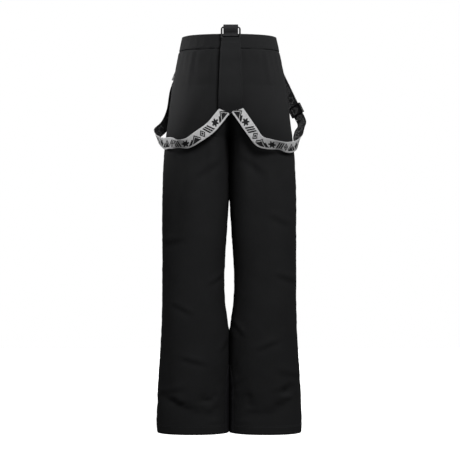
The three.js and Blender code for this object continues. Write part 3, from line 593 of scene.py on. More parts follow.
def skin_patch(rows, columns, side, heights, angles, proud):
    """A grid on the draped skin. heights is (low, high); angles are functions of z."""

    def at(s, t):
        z = mix(*heights, s)
        return skin(side, mix(angles[0](z), angles[1](z), t), z, proud)

    return grid_of(rows, columns, at)


def joined(parts):
    """Several (points, faces) as one."""
    points, faces, count = [], [], 0
    for p, f in parts:
        points.append(p)
        faces += [[i + count for i in face] for face in f]
        count += len(p)
    return np.concatenate(points), faces


def capped(points, count):
    """Faces of a stack of rings with `count` points each, closed at both ends."""
    faces = grid_quads(len(points) // count, count, True).tolist()
    faces.append(list(range(count))[::-1])
    faces.append(list(range(len(points) - count, len(points))))
    return faces


def quarter_turns(steps):
    """Angles round a rounded rectangle, and the signs of the corner that each one belongs to."""
    turns = np.concatenate([np.linspace(q, q + 1, steps + 1) for q in range(4)]) * math.pi / 2
    return turns, np.repeat([[1, 1], [-1, 1], [-1, -1], [1, -1]], steps + 1, axis=0)


def rounded_box(size, radius, at, axes, steps=3):
    """A box with all its edges rounded, as points and faces. axes holds its three directions."""
    half = np.maximum(np.array(size, float) / 2 - radius, 0)
    turns, signs = quarter_turns(steps)
    corner = signs * half[:2]
    rings = []
    for sign in (-1, 1):
        for a in np.linspace(min(sign, 0), max(sign, 0), steps + 1) * math.pi / 2:
            flat = corner + radius * math.cos(a) * np.stack([np.cos(turns), np.sin(turns)], -1)
            level = np.full(len(turns), sign * half[2] + radius * math.sin(a))
            rings.append(np.column_stack([flat, level]))
    points = np.concatenate(rings)
    return points @ axes + at, capped(points, len(turns))


def swept(path, section, across, closed=True):
    """A section swept along a path. across is the direction of the section's first axis."""
    path = np.asarray(path, float)
    if closed:
        along = unit(np.roll(path, -1, 0) - np.roll(path, 1, 0))
    else:
        along = unit(np.gradient(path, axis=0))
    first = unit(np.broadcast_to(across, path.shape))
    second = unit(np.cross(along, first))
    points = path[:, None] + section[None, :, :1] * first[:, None] + section[None, :, 1:] * second[:, None]
    rows, columns = points.shape[:2]
    i, j = np.mgrid[0 : rows if closed else rows - 1, 0:columns]
    here, after, beside = i * columns, (i + 1) % rows * columns, (j + 1) % columns
    faces = np.stack([here + j, after + j, after + beside, here + beside], -1).reshape(-1, 4).tolist()
    if not closed:
        faces.append(list(range(columns)))
        faces.append([(rows - 1) * columns + c for c in range(columns)][::-1])
    return points.reshape(-1, 3), faces


def travelled(path):
    """The distance along a path at each of its points."""
    return np.concatenate([[0], np.cumsum(np.linalg.norm(np.diff(path, axis=0), axis=1))])


def picked(at, s, values):
    """Values that are known at the distances s, at other distances."""
    return np.stack([np.interp(at, s, values[:, k]) for k in range(3)], -1)


def resampled(path, step):
    """Points at even distances along a path."""
    s = travelled(path)
    return picked(np.linspace(0, s[-1], max(int(round(s[-1] / step)), 1) + 1), s, path)


STITCH, STITCH_PITCH, STITCH_RADIUS = 3.0, 4.2, 0.34
STITCH_START = 0.5
STITCH_PLACES = np.array([0.0, 0.12, 0.5, 0.88, 1.0])  # shares of a stitch's length
STITCH_SWELL = np.array([0.25, 0.8, 1.0, 0.8, 0.25])  # its radius there
STITCH_SIDES = 6


def stitch_line(path, normals):
    """A row of raised stitches along a path, as points and faces."""
    s = travelled(path)
    starts = np.arange(STITCH_START, s[-1] - STITCH, STITCH_PITCH)
    turns = np.arange(STITCH_SIDES) / STITCH_SIDES * 2 * math.pi
    at = starts[:, None] + STITCH_PLACES[None, :] * STITCH
    centre = picked(at, s, path)
    up = unit(picked(at, s, normals))
    along = unit(centre[:, -1:] - centre[:, :1])
    side = unit(np.cross(along, up))
    radius = STITCH_RADIUS * STITCH_SWELL[None, :, None, None]
    ring = (
        centre[:, :, None]
        + radius * np.cos(turns)[None, None, :, None] * side[:, :, None]
        + radius * np.sin(turns)[None, None, :, None] * up[:, :, None]
    )
    return joined([(stitch.reshape(-1, 3), capped(stitch.reshape(-1, 3), STITCH_SIDES)) for stitch in ring])


def stitched(name, lines, material, body="garment"):
    """One piece that holds several rows of stitches, each a (path, normals) pair."""
    points, faces = joined([stitch_line(*line) for line in lines])
    return make(name, points, faces, material, body)


# ---------------------------------------------------------------- material building


def new_material(name, roughness, metallic=0.0, specular=0.5):
    material = bpy.data.materials.new(name)
    material.use_nodes = True
    shader = material.node_tree.nodes["Principled BSDF"]
    shader.inputs["Roughness"].default_value = roughness
    shader.inputs["Metallic"].default_value = metallic
    shader.inputs["Specular IOR Level"].default_value = specular
    return material, material.node_tree, shader


def node(tree, kind, inputs=None, **settings):
    """A node with its settings and inputs. An input is a value, or a socket to link."""
    made = tree.nodes.new(kind)
    for key, value in settings.items():
        setattr(made, key, value)
    for key, value in (inputs or {}).items():
        if isinstance(value, bpy.types.NodeSocket):
            tree.links.new(value, made.inputs[key])
        else:
            made.inputs[key].default_value = value
    return made


def math_node(tree, operation, first, second=0.0, third=0.0):
    made = node(tree, "ShaderNodeMath", {0: first, 1: second, 2: third}, operation=operation)
    return made.outputs[0]


def cloth_coordinates(tree):
    """Distances across and along the fabric, and from its nearest edge, in metres."""
    attribute = node(tree, "ShaderNodeAttribute", attribute_name="cloth")
    return node(tree, "ShaderNodeSeparateXYZ", {0: attribute.outputs["Vector"]}).outputs


def object_coordinates(tree):
    return node(tree, "ShaderNodeTexCoord").outputs["Object"]


def noise_node(tree, where, scale, detail=3.0, roughness=0.6):
    inputs = {"Vector": where, "Scale": scale, "Detail": detail, "Roughness": roughness}
    return node(tree, "ShaderNodeTexNoise", inputs).outputs["Fac"]


def ramp(tree, value, low, high):
    """value moved from the range low..high to 0..1, and clamped."""
    inputs = {"Value": value, "From Min": low, "From Max": high}
    return node(tree, "ShaderNodeMapRange", inputs).outputs["Result"]


def blend_colour(tree, factor, first, second):
    made = node(tree, "ShaderNodeMix", data_type="RGBA")
    for socket, value in ((0, factor), (6, first), (7, second)):
        if isinstance(value, bpy.types.NodeSocket):
            tree.links.new(value, made.inputs[socket])
        elif socket:
            made.inputs[socket].default_value = (*value, 1)
        else:
            made.inputs[socket].default_value = value
    return made.outputs[2]


def tint(tree, shader, factor, colour, light):
    """Colour a shader between two colours."""
    tree.links.new(blend_colour(tree, factor, colour, light), shader.inputs["Base Color"])


def emboss(tree, shader, height, strength, depth):
    """Give a shader relief, whose depth is in millimetres."""
    bump = node(tree, "ShaderNodeBump", {"Strength": strength, "Distance": depth * MM, "Height": height})
    tree.links.new(bump.outputs[0], shader.inputs["Normal"])


def uneven_gloss(tree, shader, clouds, least, spread):
    """Let a shader's roughness drift with the clouds, from the least to the least plus the spread."""
    gloss = math_node(tree, "MULTIPLY_ADD", clouds, spread, least)
    tree.links.new(gloss, shader.inputs["Roughness"])


def turns_of(tree, distance, pitch):
    """The angle that goes once round for every pitch, in mm, of a distance in metres."""
    return math_node(tree, "MULTIPLY", distance, 2 * math.pi / (pitch * MM))


def weave_height(tree, split, across, along, twill=False):
    """Thread relief from -1 to 1. across and along are the thread pitches in mm."""
    turn_u, turn_v = turns_of(tree, split[0], across), turns_of(tree, split[1], along)
    if twill:
        slanted = math_node(tree, "ADD", turn_u, math_node(tree, "MULTIPLY", turn_v, 0.5))
        return math_node(tree, "SINE", slanted)
    return math_node(tree, "MULTIPLY", math_node(tree, "SINE", turn_u), math_node(tree, "SINE", turn_v))


WORN_EDGE = 0.0025  # metres from a fabric's edge that are rubbed pale
WEFT = 0.9  # pitch of a webbing's cross threads in mm


def woven(name, colour, light, pitch, roughness=0.85, relief=0.12, sheen=0.0, twill=False):
    """Woven fabric: thread relief, slubs, faint cloudiness and paler rubbed edges."""
    material, tree, shader = new_material(name, roughness, specular=0.12)
    split = cloth_coordinates(tree)
    where = object_coordinates(tree)
    threads = weave_height(tree, split, *pitch, twill=twill)
    clouds = noise_node(tree, where, 9, 4)
    fibres = noise_node(tree, where, 1400, 2)
    rubbed = math_node(tree, "MULTIPLY", ramp(tree, split[2], WORN_EDGE, 0.0), 0.5)
    tone = math_node(tree, "MULTIPLY_ADD", threads, 0.16, ramp(tree, clouds, 0.3, 0.75))
    tone = math_node(tree, "ADD", tone, math_node(tree, "MULTIPLY", rubbed, noise_node(tree, where, 260, 2)))
    tint(tree, shader, math_node(tree, "MULTIPLY", tone, 0.7), colour, light)
    uneven_gloss(tree, shader, clouds, roughness - 0.08, 0.16)
    emboss(tree, shader, math_node(tree, "MULTIPLY_ADD", fibres, 0.5, threads), 0.5, relief)
    shader.inputs["Sheen Weight"].default_value = sheen
    shader.inputs["Sheen Roughness"].default_value = 0.5
    return material


def ribbed(name, colour, light, rib=1.9, roughness=0.75):
    """Ribbed webbing or elastic: ridges along its length, crossed by fine weft."""
    material, tree, shader = new_material(name, roughness, specular=0.3)
    split = cloth_coordinates(tree)
    where = object_coordinates(tree)
    ridges = math_node(tree, "SINE", turns_of(tree, split[0], rib))
    weft = math_node(tree, "SINE", turns_of(tree, split[1], WEFT))
    height = math_node(tree, "MULTIPLY_ADD", weft, 0.45, ridges)
    tone = math_node(tree, "MULTIPLY_ADD", height, 0.2, noise_node(tree, where, 160, 3))
    tint(tree, shader, tone, colour, light)
    emboss(tree, shader, height, 0.7, 0.2)
    return material


def pile(name, colour, light, roughness=0.95):
    """Brushed fleece: tufts instead of threads."""
    material, tree, shader = new_material(name, roughness, specular=0.15)
    tufts = noise_node(tree, object_coordinates(tree), 420, 5, 0.7)
    tint(tree, shader, ramp(tree, tufts, 0.3, 0.7), colour, light)
    emboss(tree, shader, tufts, 0.9, 0.8)
    shader.inputs["Sheen Weight"].default_value = 0.3
    return material


def moulded(name, colour, light, roughness=0.38, metallic=0.0, scuffs=0.5, specular=0.5):
    """Moulded plastic or plated metal: fine grain, uneven gloss and a few pale scuffs."""
    material, tree, shader = new_material(name, roughness, metallic, specular)
    where = object_coordinates(tree)
    grain = noise_node(tree, where, 2600, 2)
    clouds = noise_node(tree, where, 70, 4)
    scratch = ramp(tree, noise_node(tree, where, 520, 6, 0.75), 0.62, 0.74)
    tone = math_node(tree, "MULTIPLY_ADD", scratch, scuffs, math_node(tree, "MULTIPLY", clouds, 0.3))
    tint(tree, shader, tone, colour, light)
    uneven_gloss(tree, shader, clouds, roughness - 0.1, 0.22)
    emboss(tree, shader, grain, 0.3, 0.05)
    return material


SHELL_FABRIC = woven("shell_fabric", (0.0105, 0.0107, 0.0112), (0.0155, 0.0157, 0.0165), (0.8, 0.8))
YOKE_FABRIC = woven("yoke_fabric", (0.0115, 0.0118, 0.0124), (0.0175, 0.0178, 0.0187), (0.8, 0.8))
BAND_FABRIC = woven("band_fabric", (0.0105, 0.0107, 0.0112), (0.0165, 0.0167, 0.0175), (0.8, 0.8))
LINING_FABRIC = woven("lining_fabric", (0.024, 0.026, 0.029), (0.045, 0.048, 0.053), (0.4, 0.4), 0.45, 0.04)
GUARD_FABRIC = woven("guard_fabric", (0.008, 0.008, 0.009), (0.02, 0.02, 0.022), (1.4, 1.4), 0.6, 0.2)
TAPE_FABRIC = woven("zip_tape", (0.009, 0.009, 0.01), (0.02, 0.02, 0.022), (0.6, 1.2), 0.8, twill=True)
LABEL_FABRIC = woven("label_satin", (0.26, 0.27, 0.28), (0.42, 0.43, 0.45), (0.25, 0.5), 0.5, 0.03, 0.1)
FLEECE = pile("fleece", (0.010, 0.010, 0.011), (0.026, 0.027, 0.029))
STRAP_GREY = ribbed("strap_grey", (0.4, 0.4, 0.404), (0.68, 0.68, 0.685), 1.5)
STRAP_DIM = ribbed("strap_dim", (0.06, 0.06, 0.061), (0.13, 0.13, 0.132), 1.5)
STRAP_BLACK = ribbed("strap_black", (0.004, 0.004, 0.0045), (0.011, 0.011, 0.012), 1.5, 0.85)
TAB_WEBBING = ribbed("tab_webbing", (0.008, 0.008, 0.009), (0.022, 0.022, 0.024), 2.2)
ELASTIC = ribbed("elastic", (0.009, 0.009, 0.010), (0.024, 0.024, 0.026), 1.2)
THREAD = woven("thread", (0.018, 0.018, 0.02), (0.04, 0.04, 0.043), (0.3, 0.3), 0.55, 0.05)
BLACK_PLASTIC = moulded("black_plastic", (0.004, 0.004, 0.0045), (0.014, 0.014, 0.015), 0.5, specular=0.16)
ZIP_TEETH = moulded("zip_teeth", (0.008, 0.008, 0.009), (0.028, 0.028, 0.03), 0.32)
DARK_METAL = moulded("dark_metal", (0.07, 0.07, 0.075), (0.2, 0.2, 0.21), 0.32, 1.0)


def from_slot(piece, slot, *nodes):
    """piece stands for these CAD nodes, which are hidden, and is handed back. slot, a material slot's name,
    is not used.
    """
    if nodes:
        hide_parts(*nodes)
    return piece


# ---------------------------------------------------------------- shell, lining and hems

SHELL_ROWS, SHELL_COLUMNS = 330, 84
SEAM_GAP = 0.4  # between the panels' upper edges and the waistband

PUCKER_REACH = 16.0  # how far the gathers run away from a seam
FAR_SIDE = 100.0  # distances past this belong to a panel's other seam
OTHER_GATHERS = 400.0  # moves the noise, so that the two seams differ


def seam_puckers(grid, seed):
    """Little gathers that run away from the sewn edges of a panel."""
    u, v = lengths(grid, 1), lengths(grid, 0)
    away = np.minimum(u, u[:, -1:] - u)
    where = np.stack([away * 0.35 + OTHER_GATHERS * (u > FAR_SIDE), v], -1)
    gathers = noise(where, 7.0, seed) * 0.55 + noise(where, 16.0, seed + 1) * 0.5
    crinkle = ruffled(grid, 24.0, seed + 2, along=0.8) * 0.35
    return gathers * np.exp(-((away / PUCKER_REACH) ** 2)) + crinkle


def make_shell():
    for name, side in SIDES.items():
        for panel, angles in PANELS.items():
            heights = (0, BAND_BOTTOM - SEAM_GAP)
            grid = skin_patch(SHELL_ROWS, SHELL_COLUMNS, side, heights, angles, -SHELL / 2)
            bumps = seam_puckers(grid, SEED + 3 * side + len(panel))
            label = f"shell_{panel}_{name}"
            piece = sheet_piece(label, grid, SHELL, SHELL_FABRIC, edge=1.6, outward=side, bumps=bumps)
            from_slot(piece, "shell_fabric", f"{panel}_panel_{name}")


HEM_STITCHES = (20.0, 23.5)


def make_hem_stitches():
    lines = []
    for side in SIDES.values():
        angle = np.linspace(0, 2 * math.pi, 500)
        for height in HEM_STITCHES:
            z = np.full_like(angle, height)
            lines.append((skin(side, angle, z, 0.1), skin_normal(side, angle, z)))
    from_slot(stitched("hem_stitches", lines, THREAD), "shell_fabric")


LINING_ENDS = (36, 980)
LINING_THICK = 0.6
LINING_X = 6.0  # how far the lining keeps from the centre plane above the crotch
LINING_FLY_X = 36.0  # and beside the fly
LINING_ANGLE = 0.06  # and along the inseam


def lining_back(z):
    return np.where(z > CROTCH, angle_at_x(z, LINING_X), LINING_ANGLE)


def lining_front(z):
    edge = mix(LINING_X, LINING_FLY_X, rising(z, FLY_BOTTOM - 2, 8))
    return np.where(z > CROTCH, angle_at_x(z, edge, True), 2 * math.pi - LINING_ANGLE)


LINING_EDGES = (lining_back, lining_front)


def make_lining():
    for name, side in SIDES.items():
        grid = skin_patch(190, 110, side, LINING_ENDS, LINING_EDGES, -LINING_DEPTH - 0.5)
        rumple = ruffled(grid, 30.0, SEED + side, along=0.4) * 0.5
        label = f"lining_layer_{name}"
        options = {"edge": LINING_THICK, "outward": side, "bumps": rumple}
        piece = sheet_piece(label, grid, LINING_THICK, LINING_FABRIC, **options)
        from_slot(piece, "lining_fabric", f"lining_{name}")


GAITER_TOP, GAITER_BOTTOM = 215.0, 44.0
GAITER_DEPTH = 12.0
GRIPPER_BOTTOM = 24.0
GRIPPER_LINES = (6, 12)
CUFF_X, CUFF_Y, CUFF_CENTRE = 63.0, 60.0, 96.0
CUFF_COLUMNS = 240
CUFF_BACK = 2.0  # how far the cuff's middle lies behind the centre line
GATHERS, GATHER_DEPTH = 34, 1.5
ELASTIC_WAVES, ELASTIC_DEPTH = 60, 0.35


def cuff(side, angle, z, grow):
    x = side * (CUFF_CENTRE - (CUFF_X + grow) * np.cos(angle))
    y = -(CUFF_Y + grow) * np.sin(angle) - CUFF_BACK
    return np.stack(np.broadcast_arrays(x, y, z), -1)


def round_cuff(t):
    """The angle at a share of the way round, where the last column stops short of the first."""
    return t * 2 * math.pi * (CUFF_COLUMNS - 1) / CUFF_COLUMNS


def make_gaiters():
    """Snow gaiters gathered into an elastic, which carries two lines of gripper."""
    for name, side in SIDES.items():

        def gathered(s, t):
            angle = round_cuff(t)
            waves = np.sin(GATHERS * angle + 2.5 * np.sin(3 * angle))
            folds = waves * GATHER_DEPTH * (1 - s) ** 1.5
            low = cuff(side, angle, GAITER_BOTTOM, 0.6 + folds)
            high = bare_skin(side, angle, np.full_like(angle, GAITER_TOP), 0.6 - GAITER_DEPTH)
            grid = mix(low, high, smooth(s)[..., None])
            grid[..., 2] = mix(GAITER_BOTTOM, GAITER_TOP, s)
            return grid

        grid = grid_of(60, CUFF_COLUMNS, gathered)
        label = f"gaiter_cuff_{name}"
        piece = sheet_piece(label, grid, 0.8, LINING_FABRIC, edge=0.8, ring=True, outward=side)
        from_slot(piece, "lining_fabric", f"gaiter_{name}")

        def elastic(s, t):
            angle = round_cuff(t)
            ripple = np.sin(ELASTIC_WAVES * angle) * ELASTIC_DEPTH
            return cuff(side, angle, mix(GRIPPER_BOTTOM, GAITER_BOTTOM - 0.4, s), 0.8 + ripple)

        grid = grid_of(18, CUFF_COLUMNS, elastic)
        lines = ridges_at(lengths(grid, 0), GRIPPER_LINES, 0.9, 0.4)
        label = f"gaiter_elastic_{name}"
        piece = sheet_piece(label, grid, 1.8, ELASTIC, edge=0.9, ring=True, outward=side, bumps=lines)
        from_slot(piece, "elastic", f"gaiter_gripper_{name}")


GUARD_BOTTOM, GUARD_TOP, GUARD_REACH = 3, 175.0, 0.5
GUARD_PROUD, GUARD_THICK = 0.9, 1.0
GUARD_STITCHES = (0.04, 0.09)


def make_guards():
    """Tough patches over the inner ankles, with a double row of stitches round them."""
    lines = []
    for name, side in SIDES.items():

        def at(s, t):
            z = mix(GUARD_BOTTOM, GUARD_TOP, s)
            reach = GUARD_REACH * (1 - 0.35 * rising(s, 0.75, 0.25))
            angle = np.mod(mix(-reach, reach, t), 2 * math.pi)
            return skin(side, angle, z, GUARD_PROUD)

        grid = grid_of(120, 61, at)
        piece = sheet_piece(f"hem_patch_{name}", grid, GUARD_THICK, GUARD_FABRIC, edge=0.8, outward=side)
        from_slot(piece, "guard_fabric", f"hem_guard_{name}")
        for inset in GUARD_STITCHES:
            top = 1 - inset / 2
            corners = [(0.02, inset), (top, inset), (top, 1 - inset), (0.02, 1 - inset)]
            lines.append(line_on(grid, 0.6, side, corners))
    from_slot(stitched("guard_stitches", lines, THREAD), "guard_fabric")


def line_on(grid, lift, outward, corners):
    """A path over a grid through corners given as fractions down and across, with its normals."""
    rows, columns = grid.shape[:2]
    corners = np.asarray(corners, float)
    spots = []
    for a, b in zip(corners[:-1], corners[1:]):
        spots.append(a + (b - a) * np.linspace(0, 1, 60, endpoint=False)[:, None])
    spots = np.concatenate([*spots, corners[-1:]])
    normal = grid_normals(grid) * outward
    row, column = spots[:, 0] * (rows - 1), spots[:, 1] * (columns - 1)

    def pick(values):
        return np.stack([between(values[..., k], row, column) for k in range(3)], -1)

    up = unit(pick(normal))
    return pick(grid) + up * lift, up


# ---------------------------------------------------------------- waistband

BAND_HEIGHTS = (BAND_BOTTOM, OUTSEAM)
ROOT = 27.0  # the waist tab and the fly flap hinge this far left of the centre
TAB_REACH, FLAP_REACH = 31.0, 21.0


def band_grid(rows, columns, side, low, high, proud):
    """A grid on the band, where both halves share one oval and an angle may pass the centre."""

    def at(s, t):
        z = mix(*BAND_HEIGHTS, s)
        return bare_skin(side, mix(low(z), high(z), t), z, proud)

    return grid_of(rows, columns, at)


BAND_GROOVES = (3.2, 33.8)  # where its two rows of stitches press in
BAND_STITCHES = (0.088, 0.912)  # the same places as shares of its height
BAND_GAP = 0.001  # angle that the parts keep from the side seams and the centre


def make_waistband():
    lines = []
    middle = BAND_PROUD - BAND_THICK / 2
    parts = {
        "back": (1, lambda z: BAND_GAP, lambda z: SIDE - BAND_GAP, 260),
        "front_left": (-1, lambda z: SIDE + BAND_GAP, lambda z: angle_at_x(z, ROOT - 4, True), 110),
        "front_right": (1, lambda z: SIDE + BAND_GAP, lambda z: angle_at_x(z, 5 - ROOT, True), 150),
    }
    for name, (side, low, high, columns) in parts.items():
        grid = band_grid(30, columns, side, low, high, middle)
        groove = ridges_at(lengths(grid, 0), BAND_GROOVES, 1.6, -0.35)
        puckers = ruffled(grid, 6.0, SEED + columns, along=0.3) * 0.35
        bumps = groove + puckers + ruffled(grid, 26.0, SEED + 5) * 0.4
        label = "waistband" if name == "back" else f"waistband_{name}_cloth"
        piece = sheet_piece(label, grid, BAND_THICK, BAND_FABRIC, edge=1.8, outward=side, bumps=bumps)
        from_slot(piece, "band_fabric", f"waistband_{name}")
        for share in BAND_STITCHES:
            lines.append(line_on(grid, BAND_THICK / 2 - 0.25, side, [(share, 0.005), (share, 0.995)]))
    from_slot(stitched("waistband_stitches", lines, THREAD), "band_fabric")


FACING_ENDS, FACING_DEPTH = (986, 1026), 4.6
LABEL_X, LABEL_Z, LABEL_DEPTH = (-52, -20), (972, 984), 6.0


def make_facing():
    """The fleece inside the waistband, with a blank label sewn to it."""

    def at(s, t):
        z = mix(*FACING_ENDS, s)
        end = angle_at_x(z, ROOT + 6, True)
        return bare_skin(1, mix(math.pi - end, end, t), z, -FACING_DEPTH)

    grid = grid_of(26, 320, at)
    tufts = ruffled(grid, 9.0, SEED) * 0.25
    piece = sheet_piece("waistband_facing_fleece", grid, 1.3, FLEECE, edge=0.9, bumps=tufts)
    from_slot(piece, "fleece", "waistband_facing")

    def label(s, t):
        x, z = mix(*LABEL_X, t), mix(*LABEL_Z, s)
        return skin_at_x(x, z, -LABEL_DEPTH, on_front=False, draped=False)

    grid = grid_of(14, 40, label)
    piece = sheet_piece("care_label_satin", grid, 0.35, LABEL_FABRIC, edge=0.3, outward=-1)
    from_slot(piece, "label", "care_label")


LOOP_X, LOOP_HALF = 60.0, 5.0
LOOP_HEIGHTS = (981, 988, 1000, 1014, 1026, 1030)
LOOP_LIFTS = (1.6, 2.4, 3.4, 3.4, 3.0, 2.6)  # how far the loop stands off the skin at those heights
LOOP_STITCHES = (0.06, 0.1, 0.9, 0.94)


def make_belt_loops():
    lines = []
    for name, side in SIDES.items():

        def at(s, t):
            z = mix(LOOP_HEIGHTS[0], LOOP_HEIGHTS[-1], s)
            lift = np.interp(z, LOOP_HEIGHTS, LOOP_LIFTS)
            return skin_at_x(side * (LOOP_X + mix(-LOOP_HALF, LOOP_HALF, t)), z, lift, draped=False)

        grid = grid_of(50, 15, at)
        piece = sheet_piece(f"belt_loop_{name}_cloth", grid, 1.4, BAND_FABRIC, edge=0.9, outward=-side)
        from_slot(piece, "band_fabric", f"belt_loop_{name}")
        for row in LOOP_STITCHES:
            lines.append(line_on(grid, 0.75, -side, [(row, 0.1), (row, 0.9)]))
    from_slot(stitched("belt_loop_stitches", lines, THREAD), "band_fabric")


# A hanger loop's two halves from the side: how far in from its sewn end, and how far up.
HANGER_DOWN = [[0, 0], [0, -18], [0.6, -38], [1.6, -52], [4.2, -58]]
HANGER_UP = [[6.8, -52], [5.8, -38], [3.2, -18], [1.9, 0]]
HANGER_Z, HANGER_DEPTH, HANGER_HALF = 1006.0, 6.4, 5.0


def make_hanger_loops():
    inward, rise = np.array(HANGER_DOWN + HANGER_UP).T
    for name, side in SIDES.items():
        top = bare_skin(side, np.array(SIDE), np.array(HANGER_Z), -HANGER_DEPTH)
        path = np.stack([top[0] - side * inward, np.full(len(inward), top[1]), top[2] + rise], -1)
        grid = ribbon(path, [[0, 1, 0]] * len(path), HANGER_HALF, 1.2, 12)
        piece = sheet_piece(f"hanger_loop_{name}_ribbon", grid, 0.7, TAB_WEBBING, edge=0.5)
        from_slot(piece, "tab_webbing", f"hanger_loop_{name}")


def curve_through(points, step):
    """A centripetal Catmull-Rom curve through points of any dimension, at about even steps."""
    p = np.asarray(points, float)
    p = np.concatenate([[2 * p[0] - p[1]], p, [2 * p[-1] - p[-2]]])
    made = []
    for k in range(1, len(p) - 2):
        a, b, c, d = p[k - 1 : k + 3]
        gaps = [max(np.linalg.norm((v - w)[:3]), 1e-6) ** 0.5 for w, v in ((a, b), (b, c), (c, d))]
        t0, t1 = 0.0, gaps[0]
        t2 = t1 + gaps[1]
        t3 = t2 + gaps[2]
        count = max(int(np.ceil(np.linalg.norm((c - b)[:3]) / step)), 1)
        t = np.linspace(t1, t2, count, endpoint=False)[:, None]
        a1 = (t1 - t) / (t1 - t0) * a + (t - t0) / (t1 - t0) * b
        a2 = (t2 - t) / (t2 - t1) * b + (t - t1) / (t2 - t1) * c
        a3 = (t3 - t) / (t3 - t2) * c + (t - t2) / (t3 - t2) * d
        b1 = (t2 - t) / (t2 - t0) * a1 + (t - t0) / (t2 - t0) * a2
        b2 = (t3 - t) / (t3 - t1) * a2 + (t - t1) / (t3 - t1) * a3
        made.append((t2 - t) / (t2 - t1) * b1 + (t - t1) / (t2 - t1) * b2)
    return np.concatenate([*made, p[-2:-1]])


def ribbon(path, across, half, step, columns):
    """A grid along a curve through path, as wide as twice half, with its width along across."""
    curve = curve_through(np.column_stack([path, unit(across) * 10]), step)
    centre, width = curve[:, :3], unit(curve[:, 3:])
    spread = np.linspace(-half, half, columns)
    return centre[:, None] + width[:, None] * spread[None, :, None]


# ---------------------------------------------------------------- moulded shapes


def outline(width, height, radius, x=0.0, y=0.0, steps=6):
    """A rounded rectangle in its own plane, anticlockwise."""
    radius = max(min(radius, width / 2, height / 2), 0.01)
    turns, signs = quarter_turns(steps)
    corners = signs * (np.array([width, height]) / 2 - radius)
    return corners + radius * np.stack([np.cos(turns), np.sin(turns)], -1) + np.array([x, y])


def slab(size, thick, bevel, hole, at, axes):
    """A plate with rounded edges, and a hole where one is given.

    size and hole are (width, height, corner radius), which x and y may follow.
    """
    rings = []
    turns = np.linspace(-math.pi / 2, math.pi / 2, 7)

    def ring(shape, grow, a):
        width, height, radius, *middle = shape
        flat = outline(width + 2 * grow, height + 2 * grow, radius + grow, *middle)
        level = math.copysign(thick / 2 - bevel, a) + bevel * math.sin(a)
        rings.append(np.column_stack([flat, np.full(len(flat), level)]))

    for a in turns:
        ring(size, -bevel * (1 - math.cos(a)), a)
    if hole:
        for a in turns[::-1]:
            ring(hole, bevel * (1 - math.cos(a)), a)
        rings.append(rings[0])
    count = len(rings[0])
    points = np.concatenate(rings[:-1] if hole else rings)
    faces = (grid_quads(len(rings), count, True) % len(points)).tolist() if hole else capped(points, count)
    return points @ axes + at, faces


def lathed(profile, at, out, steps=40):
    """A round part from (radius, height) pairs, standing at a point along a direction."""
    first = unit(np.cross(out, [1.0, 0.0, 0.3]))
    second = np.cross(out, first)
    turns = np.arange(steps) / steps * 2 * math.pi
    circle = np.cos(turns)[:, None] * first + np.sin(turns)[:, None] * second
    points = np.concatenate([at + radius * circle + height * np.asarray(out) for radius, height in profile])
    return points, capped(points, steps)


TOOTH_PITCH, TOOTH_RADIUS, TOOTH_OFFSET = 1.35, 0.3, 0.9
FLY_TOOTH, POCKET_TOOTH = (3.4, 0.95, 1.3), (3.4, 0.95, 0.8)


def teeth(line, across, out, size):
    """Zip teeth along a line, alternately from either side of it."""
    parts = []
    spots = resampled(line, TOOTH_PITCH)
    along = unit(np.gradient(spots, axis=0))
    for number, (spot, forward) in enumerate(zip(spots, along)):
        lean = across * TOOTH_OFFSET * (1 if number % 2 else -1)
        axes = np.stack([across, forward, np.cross(across, forward)])
        parts.append(rounded_box(size, TOOTH_RADIUS, spot + lean + out, axes))
    return joined(parts)


# ---------------------------------------------------------------- fly and waist tab


def front_grid(rows, columns, xs, zs, proud, draped=True):
    """A grid on the front between two places in x and two in z."""
    return grid_of(rows, columns, lambda s, t: skin_at_x(mix(*xs, t), mix(*zs, s), proud, draped=draped))


FLY_ENDS = (846, BAND_BOTTOM)
UNDERLAP_HALF, FLY_TAPE = 23, (0.3, 13)
UNDERLAP_DEPTH, FLY_TAPE_DEPTH, FLY_TEETH_DEPTH = 7.0, 4.6, 3.7
FLAP_GROOVES, FLAP_STITCHES = (35.0, 43.0), (0.73, 0.9)  # distances from its hinge, and shares of its width


